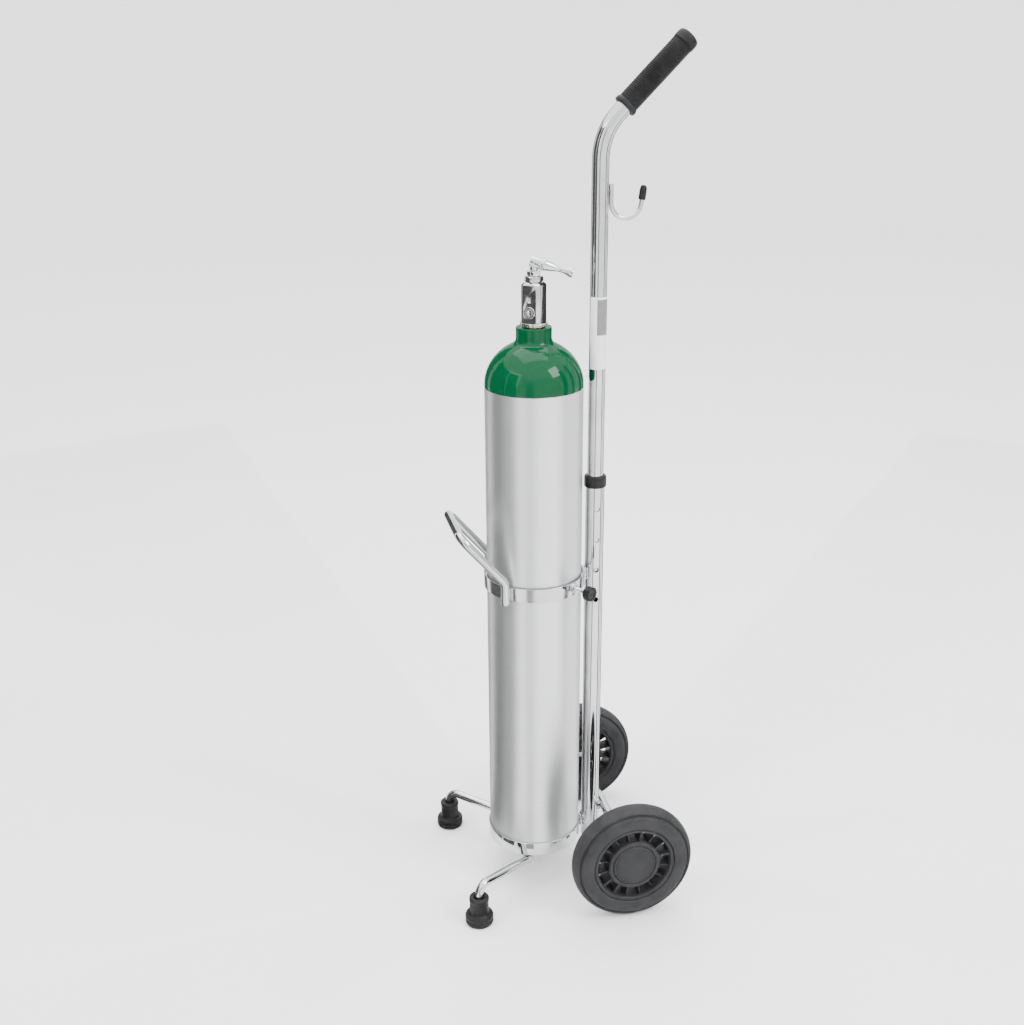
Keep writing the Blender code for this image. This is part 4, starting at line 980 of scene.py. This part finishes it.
ring_low, ring_high = low_z("ring_band"), high_z("ring_band")
ring_outer = size("ring_band")[0] / 2
ring_inner = ring_outer - 0.0016
clamp_z = middle("clamp_nut")[2]
clamp_angle = np.arctan2(*(middle("clamp_nut") - axis)[[1, 0]])
clamp_way = np.array((np.cos(clamp_angle), np.sin(clamp_angle), 0))
screw_axis = spot(axis + AXIS_Z * clamp_z, clamp_way, AXIS_Z)


def ring_band():
    """The ring: a flat band section with rolled edges, revolved, with the screw's hole cut through it."""
    mid = (ring_outer + ring_inner) / 2
    line = [
        (ring_inner, ring_low), (mid, ring_low), (ring_outer, ring_low), (ring_outer, ring_high),
        (mid, ring_high), (ring_inner, ring_high)
    ]
    section = softened([*line, line[0]], 0.0006, 4)[:-1]
    hole = turned([(0, 0.03), (0.0033, 0.03), (0.0033, 0.07), (0, 0.07)], 36)
    blank = turned(section, 193, closed=True)
    blank.transform(up)
    return machined(blank, cuts=[local(hole, np.array(screw_axis))])


piece("guide_ring", ring_band(), satin_chrome, "frame", ["ring_band"], crease=40)

bail_low, bail_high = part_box("bail_handle")
bail_x = (bail_high.x - bail_low.x) / 2 - 0.0050
bail_back = bail_high.y - 0.0050


def bail_path():
    """The bail: up from the ring, forward and up, across the front, and back down on the other side."""
    knee = 0.4120
    corners = [(bail_x, bail_back, 0.3850), (bail_x, bail_back, knee), (bail_x, bail_back - 0.0500, knee + 0.0580)]
    corners += [(-x, y, z) for x, y, z in corners[::-1]]
    return bent(corners, [0.0130, 0.0140, 0.0140, 0.0130], 18)


def spaced(path, gap=0.004):
    """A path with points no further apart than a gap, along its straights as along its arcs."""
    step = np.linalg.norm(np.diff(path, axis=0), axis=1)
    travelled = np.concatenate([[0], np.cumsum(step)])
    extra = np.unique(np.concatenate([travelled, np.arange(0, travelled[-1], gap)]))
    keep = np.concatenate([[True], np.diff(extra) > 1e-5])
    extra = extra[keep]
    return np.column_stack([np.interp(extra, travelled, path[:, k]) for k in range(3)])


bail_reference = unit(np.array((0, 0.757, 0.653)))
piece(
    "lifting_bail", swept(spaced(bail_path()), 0.0050, 40, bail_reference), bright_chrome, "frame",
    ["bail_handle"], crease=50
)
welds = []
for side in (-1, 1):
    out = unit(np.array((side * bail_x, bail_back - axis[1], 0)))
    tangent = np.cross(AXIS_Z, out) * 0.0030
    base = np.array((side * bail_x, bail_back, 0)) - out * 0.0046
    for turn in (-1, 1):
        foot = base + tangent * turn
        welds.append(weld_bead(foot + AXIS_Z * 0.3900, foot + AXIS_Z * 0.4035, out, 0.0012, 6, 5 + turn))
piece("bail_welds", joined(*welds), weld_metal, "frame")

nut_bore = turned([(0, 0.0580), (0.0033, 0.0580), (0.0033, 0.0660), (0, 0.0660)], 48)
nut = machined(hex_nut(0.00577, 0.0593, 0.0643, 0.0006), cuts=[nut_bore])
piece("clamp_hexagon", nut, zinc, "frame", ["clamp_nut"], screw_axis, crease=25)
thread = np.linspace(0.0645, 0.0795, 200)
thread_line = np.column_stack([0.00272 + 0.00022 * np.cos(thread / 0.0010 * TAU), thread])
screw_line = np.concatenate([
    [(0, 0.0594), (0.0028, 0.0594), (0.0029, 0.0640)], thread_line,
    [(0.0029, 0.0802), (0.0029, 0.0855), (0, 0.0855)]
])
piece(
    "thumb_screw_shank", turned(screw_line, 48), bright_chrome, "screw", ["clamp_screw"], screw_axis,
    crease=50
)
knob_low = 0.0590 + 0.0210


def thumb_knob():
    """The knob: an eight-sided prism with broken edges, a raised neck behind it and a shallow dish in its face."""
    blank = prism(polygon(8, 0.0088), knob_low + 0.0012, knob_low + 0.0090)
    dish = turned(
        [(0, knob_low + 0.0085), (0.0052, knob_low + 0.0085), (0.0058, knob_low + 0.0100), (0, knob_low + 0.0100)],
        64
    )
    neck = turned([(0, knob_low), (0.0056, knob_low), (0.0066, knob_low + 0.0018), (0, knob_low + 0.0018)], 64)
    return machined(blank, joins=[neck], cuts=[dish], bevel=0.0007, steps=3)


piece("thumb_knob", thumb_knob(), black_plastic, "screw", ["clamp_knob"], screw_axis, crease=28)

# ---------------------------------------------------------------- the cup, the legs and the feet

cup_low, cup_high = low_z("base_cup"), high_z("base_cup")
cup_outer = size("base_cup")[0] / 2


def cup_profile():
    """The cup's section: floor, rounded lower edge, wall and a rolled rim that turns back down inside."""
    wall = cup_outer - 0.0014
    line = [
        (0, cup_low), (cup_outer - 0.0022, cup_low), (cup_outer - 0.0004, cup_low + 0.0018),
        (cup_outer, cup_high - 0.0016)
    ]
    line += [(cup_outer, cup_high), (wall, cup_high), (wall, cup_low + 0.0014), (0, cup_low + 0.0014)]
    return softened(line, 0.0006, 4)


piece("cylinder_cup", turned(cup_profile(), 192), bright_chrome, "frame", ["base_cup"], up, crease=45)


def spacer(node, front):
    """A block behind a round piece: a box hollowed to both tubes, with its edges broken."""
    low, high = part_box(node)
    half = (high.x - low.x) / 2
    blank = prism(
        [(-half, axis[1] + front - 0.004), (half, axis[1] + front - 0.004), (half, upright[1]), (-half, upright[1])],
        low.z, high.z
    )
    hollow = turned([(0, 0), (front + 0.0002, 0), (front + 0.0002, 1), (0, 1)], 160)
    hollow.transform(up)
    tube = turned([(0, 0), (lower_radius + 0.0002, 0), (lower_radius + 0.0002, 1), (0, 1)], 100)
    tube.transform(stand)
    return machined(blank, cuts=[hollow, tube], bevel=0.0006, steps=2)


piece("ring_spacer", spacer("ring_block", ring_outer), bright_chrome, "frame", ["ring_block"], crease=30)
piece("cup_spacer", spacer("cup_block", cup_outer), bright_chrome, "frame", ["cup_block"], crease=30)
beads = []
for side in (-1, 1):
    back = upright + np.array((side * 0.0054, -lower_radius * 0.86, 0))
    front_y = axis[1] + ring_outer
    for low, high, seed in ((ring_low + 0.001, ring_high - 0.001, 8), (cup_low + 0.002, cup_high - 0.001, 12)):
        beads.append(weld_bead(
            back + AXIS_Z * low, back + AXIS_Z * high, np.array((side, -0.3, 0)), 0.0016, 5, seed + side
        ))
        near = np.array((side * 0.0054, front_y + 0.0002, 0))
        beads.append(weld_bead(
            near + AXIS_Z * low, near + AXIS_Z * high, np.array((side, 0.3, 0)), 0.0013, 5, seed + 2 + side
        ))
piece("spacer_welds", joined(*beads), weld_metal, "frame")


def leg_path(side):
    """A leg: out from under the cup, then down into the foot through a bend of 13 mm."""
    foot = middle("foot_right") if side > 0 else middle("foot_left")
    elbow = np.array((foot[0], foot[1], 0.0510))
    rim = np.array((side * 0.0530, axis[1] - 0.0240, cup_low - 0.0003 - 0.0052))
    slope = np.arctan((elbow[2] - rim[2]) / np.linalg.norm((elbow - rim)[:2]))
    rim[2] -= 0.0052 * (1 / np.cos(slope) - 1)
    start = rim + unit(rim - elbow) * 0.0120
    bottom = elbow.copy()
    bottom[2] = 0.0130
    flat = unit(np.array((elbow[0] - rim[0], elbow[1] - rim[1], 0)))
    return bent([start, elbow, bottom], [0.0130], 24), np.cross(AXIS_Z, flat)


def foot_profile():
    """The foot's section: a ringed base, a shoulder, a sleeve with a lip, and the hole the leg stands in."""
    base = [(0, 0.0), (0.0150, 0.0), (0.0164, 0.0010), (0.0169, 0.0028), (0.0169, 0.0050), (0.0158, 0.0058)]
    base += [(0.0158, 0.0070), (0.0168, 0.0078), (0.0168, 0.0106), (0.0160, 0.0124), (0.0136, 0.0128)]
    sleeve = [
        (0.0124, 0.0138), (0.0114, 0.0152), (0.0113, 0.0300), (0.0119, 0.0309), (0.0119, 0.0345),
        (0.0110, 0.0355)
    ]
    hole = [(0.0066, 0.0355), (0.0056, 0.0346), (0.0056, 0.0125), (0, 0.0125)]
    return softened(base + sleeve + hole, 0.0006, 4)


for side, word in ((1, "right"), (-1, "left")):
    path, reference = leg_path(side)
    piece(
        f"leg_bar_{word}", swept(spaced(path), 0.0052, 40, reference), bright_chrome, "frame",
        [f"leg_{word}"], crease=50
    )
    foot = middle(f"foot_{word}")
    piece(
        f"rubber_foot_{word}", turned(foot_profile(), 96), foot_rubber, "frame", [f"foot_{word}"],
        spot((foot[0], foot[1], 0), AXIS_Z), crease=50
    )
    rim = path[0] + unit(path[1] - path[0]) * 0.0100
    across = unit(np.cross(AXIS_Z, path[1] - path[0]))
    runs = [
        weld_bead(
            path[0] + unit(path[2] - path[0]) * 0.001 + across * s * 0.0040 + AXIS_Z * 0.0046,
            rim + across * s * 0.0040 + AXIS_Z * 0.0046, across * s, 0.0014, 6, 20 + s
        ) for s in (-1, 1)
    ]
    piece(f"leg_welds_{word}", joined(*runs), weld_metal, "frame")

# ---------------------------------------------------------------- the axle and the wheels

axle = middle("axle_tube")
axle_half = size("axle_tube")[0] / 2
axle_place = spot(axle, AXIS_X, AXIS_Z)
piece(
    "axle_sleeve",
    turned(
        softened(
            [
                (0.0043, -axle_half), (0.0055, -axle_half), (0.0055, axle_half), (0.0043, axle_half),
                (0.0043, -axle_half)
            ],
            0.0004
        )[:-1],
        64, True
    ),
    bright_chrome, "frame", ["axle_tube"], axle_place
)
rod_half = size("axle_rod")[0] / 2
piece(
    "axle_bar",
    turned(softened([(0, -rod_half), (0.0040, -rod_half), (0.0040, rod_half), (0, rod_half)], 0.0006), 48),
    zinc, "frame", ["axle_rod"], axle_place
)
joint = np.array((upright[0], (upright[1] + lower_radius + axle[1] - 0.0055) / 2, axle[2]))
piece("axle_welds", joined(*(
    weld_bead(
        joint + AXIS_Z * s * 0.0034 - AXIS_X * 0.0085 - AXIS_Y * 0.0010,
        joint + AXIS_Z * s * 0.0034 + AXIS_X * 0.0085 - AXIS_Y * 0.0010, AXIS_Z * s, 0.0020, 7, 30 + s
    ) for s in (-1, 1)
)), weld_metal, "frame")



def tyre_profile():
    """The tyre's section: bead, broad sidewall with a fine rib, a groove at the shoulder, and a crowned tread."""
    half = [
        (0.0492, 0.0131), (0.0498, 0.0143), (0.0512, 0.0150), (0.0530, 0.0151), (0.0545, 0.0153), (0.0580, 0.0155),
        (0.0615, 0.0150), (0.0638, 0.0140), (0.0648, 0.0131), (0.0651, 0.0112), (0.0656, 0.0102), (0.0667, 0.0102),
        (
            0.0672, 0.0110
        ), (0.0680, 0.0113), (0.0692, 0.0107), (0.0708, 0.0092), (0.0721, 0.0068), (0.0728, 0.0044), (0.0732, 0.0020),
    ]
    line = np.array(half + [(r, -z) for r, z in half[::-1]])
    return np.concatenate([softened(line, 0.0007, 3), [(0.0492, 0.0)]])


def hub_mesh():
    """The hub: a stepped rim, a boss with a ring, a disc between them, and sixteen thin spokes across the windows."""
    rim = softened(
        [
            (0.0489, -0.0130), (0.0489, 0.0130), (0.0478, 0.0136), (0.0456, 0.0136), (0.0446, 0.0126),
            (0.0440, 0.0100), (0.0440, -0.0110), (0.0452, -0.0130), (0.0489, -0.0130)
        ],
        0.0006
    )[:-1]
    boss = softened(
        [
            (0.0078, -0.0128), (0.0078, 0.0060), (0.0262, 0.0060), (0.0262, 0.0124), (0.0268, 0.0130),
            (0.0304, 0.0130), (0.0314, 0.0120), (0.0314, -0.0120), (0.0304, -0.0130), (0.0260, -0.0130),
            (0.0260, -0.0020), (0.0120, -0.0020), (0.0115, -0.0128), (0.0078, -0.0128)
        ],
        0.0005
    )[:-1]
    parts = [turned(rim, 128, True), turned(boss, 128, True)]
    for spoke in range(16):
        fin = prism([(-0.0008, -0.0090), (0.0008, -0.0090), (0.0008, 0.0092), (-0.0008, 0.0092)], 0.0305, 0.0446)
        fin = machined(fin, bevel=0.0003, steps=2)
        angle = TAU * (spoke + 0.5) / 16
        out = np.array((np.cos(angle), np.sin(angle), 0))
        parts.append(local(fin, np.array(spot((0, 0, 0), out, np.cross(AXIS_Z, out)))))
    return joined(*parts)


cap_line = [
    (0, 0.0104), (0.0258, 0.0104), (0.0258, 0.0126), (0.0250, 0.0132), (0.0235, 0.0133), (0.0231, 0.0129),
    (0.0226, 0.0129), (0.0222, 0.0134), (0.0120, 0.0135), (0, 0.0135)
]
for side, word in ((1, "right"), (-1, "left")):
    body = f"wheel_{word}"
    centre = middle(f"tyre_{word}")
    place = spot(centre, AXIS_X * side, AXIS_Z)
    piece(
        f"solid_tyre_{word}", turned(tyre_profile(), 180, True), tyre_grey, body, [f"tyre_{word}"],
        place, crease=50
    )
    piece(f"spoked_hub_{word}", hub_mesh(), hub_plastic, body, [f"hub_{word}"], place, crease=35)
    piece(
        f"centre_cap_{word}", turned(softened(cap_line, 0.0004), 128), hub_plastic, body,
        [f"hub_cap_{word}"], place, crease=40
    )
    sleeve = softened(
        [(0.0043, -0.0130), (0.0060, -0.0130), (0.0060, 0.0075), (0.0043, 0.0075), (0.0043, -0.0130)], 0.0003
    )[:-1]
    piece(f"wheel_sleeve_{word}", turned(sleeve, 48, True), zinc, body, [f"wheel_bush_{word}"], place)
    for node, name in ((f"wheel_washer_{word}", f"inner_washer_{word}"), (f"push_nut_{word}", f"push_on_nut_{word}")):
        low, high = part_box(node)
        half = (high.x - low.x) / 2
        ring = softened(
            [(0.0043, -half), (0.0080, -half), (0.0080, half), (0.0043, half), (0.0043, -half)], 0.0003
        )[:-1]
        at = np.array(((low.x + high.x) / 2, axle[1], axle[2]))
        piece(name, turned(ring, 56, True), zinc, "frame", [node], spot(at, AXIS_X * side, AXIS_Z))

for node, paint in (
    ("neck_oring", seal_rubber), ("packing_ring", seal_rubber), ("valve_stem", zinc), ("seat_plug", brass),
    ("clamp_pad", black_plastic)
):
    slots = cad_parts[node].material_slots
    for place in slots:
        place.material = paint


# ---------------------------------------------------------------- the studio

def studio_floor():
    """A round floor whose rim curves up into a wall: radius and height follow a quarter circle past the flat."""
    turn = np.linspace(0, np.pi / 2, 24)
    rim = np.column_stack([6.0 + 2.0 * np.sin(turn), 2.0 - 2.0 * np.cos(turn)])
    line = np.concatenate([[(0, 0)], np.column_stack([np.linspace(0.5, 5.9, 20), np.zeros(20)]), rim, [(8.0, 6.0)]])
    mesh = turned(line, 96)
    made = bpy.data.objects.new("studio_floor", weld_up(mesh))
    mesh.shade_smooth()
    mesh.materials.append(make_floor_finish())
    bpy.context.scene.collection.objects.link(made)


def flag(name, first, last, near, far, tall, shade):
    """A dark flag that only glossy surfaces see.

    It is a sector of the floor between two azimuths, in degrees, and a wall that stands at the sector's far rim.
    """
    count = 9
    turn = np.radians(np.linspace(first, last, count))
    out = np.column_stack([np.cos(turn), np.sin(turn)])
    rows = [(near, 0.003), (far, 0.003), (far, tall)]
    points = np.array([(axis[0] + x * r, axis[1] + y * r, z) for r, z in rows for x, y in out])
    corner = (np.arange(2)[:, None] * count + np.arange(count - 1)[None, :]).reshape(-1, 1)
    mesh = mesh_of(points, corner + np.array([[0, count, count + 1, 1]]))
    cloth = Finish(name, (shade, shade, shade), 0.95)
    cloth.set("Specular IOR Level", 0.0)
    mesh.materials.append(cloth.material)
    made = bpy.data.objects.new(name, mesh)
    bpy.context.scene.collection.objects.link(made)
    made.visible_camera = False
    made.visible_diffuse = False
    made.visible_shadow = False


def lamp(name, place, target, wide, tall, power):
    """A rectangular studio lamp that points at a target."""
    data = bpy.data.lights.new(name, "AREA")
    data.shape = "RECTANGLE"
    data.size, data.size_y, data.energy = wide, tall, power
    made = bpy.data.objects.new(name, data)
    bpy.context.scene.collection.objects.link(made)
    way = Vector(target) - Vector(place)
    made.matrix_world = Matrix.Translation(Vector(place)) @ way.to_track_quat("-Z", "Y").to_matrix().to_4x4()


studio_floor()
flag("flag_behind_left", -170, -144, 0.12, 2.2, 2.2, 0.05)
flag("flag_left", -132, -84, 0.12, 2.2, 2.2, 0.05)
flag("flag_valve_side", -82, -54, 0.12, 2.2, 2.2, 0.05)
flag("flag_front", -30, -14, 0.12, 2.4, 1.6, 0.22)
flag("flag_right", 58, 70, 0.12, 2.2, 2.2, 0.03)
flag("flag_far_right", 84, 92, 0.12, 2.2, 2.2, 0.05)
flag("flag_behind_right", 112, 138, 0.12, 2.2, 2.2, 0.03)
lamp("key_light", (1.6, 1.8, 2.6), (0, 0, 0.45), 1.2, 1.2, 80)
lamp("fill_light", (1.0, -2.4, 1.8), (0, 0, 0.45), 1.6, 1.6, 30)
lamp("top_light", (-0.6, 0.0, 3.0), (0, 0, 0.3), 2.2, 2.2, 60)

world = bpy.data.worlds.new("studio_air")
bpy.context.scene.world = world
world.use_nodes = True
world.node_tree.nodes["Background"].inputs["Color"].default_value = (1, 1, 1, 1)
world.node_tree.nodes["Background"].inputs["Strength"].default_value = 3.0

lens = bpy.data.cameras.new("camera")
lens.lens, lens.sensor_width = 36 * 1259 / 1025, 36
lens.dof.use_dof = False
camera = bpy.data.objects.new("camera", lens)
bpy.context.scene.collection.objects.link(camera)
forward, right, above = (-0.9165, 0.1989, -0.3471), (0.2145, 0.9767, -0.0067), (-0.3376, 0.0806, 0.9378)
seat = axis + np.array((1.3307, -0.3149, 0.9832))
columns = np.array((right, above, tuple(-v for v in forward))).T
pose = np.eye(4)
pose[:3, :3], pose[:3, 3] = columns, seat
camera.matrix_world = Matrix(pose.tolist())
bpy.context.scene.camera = camera
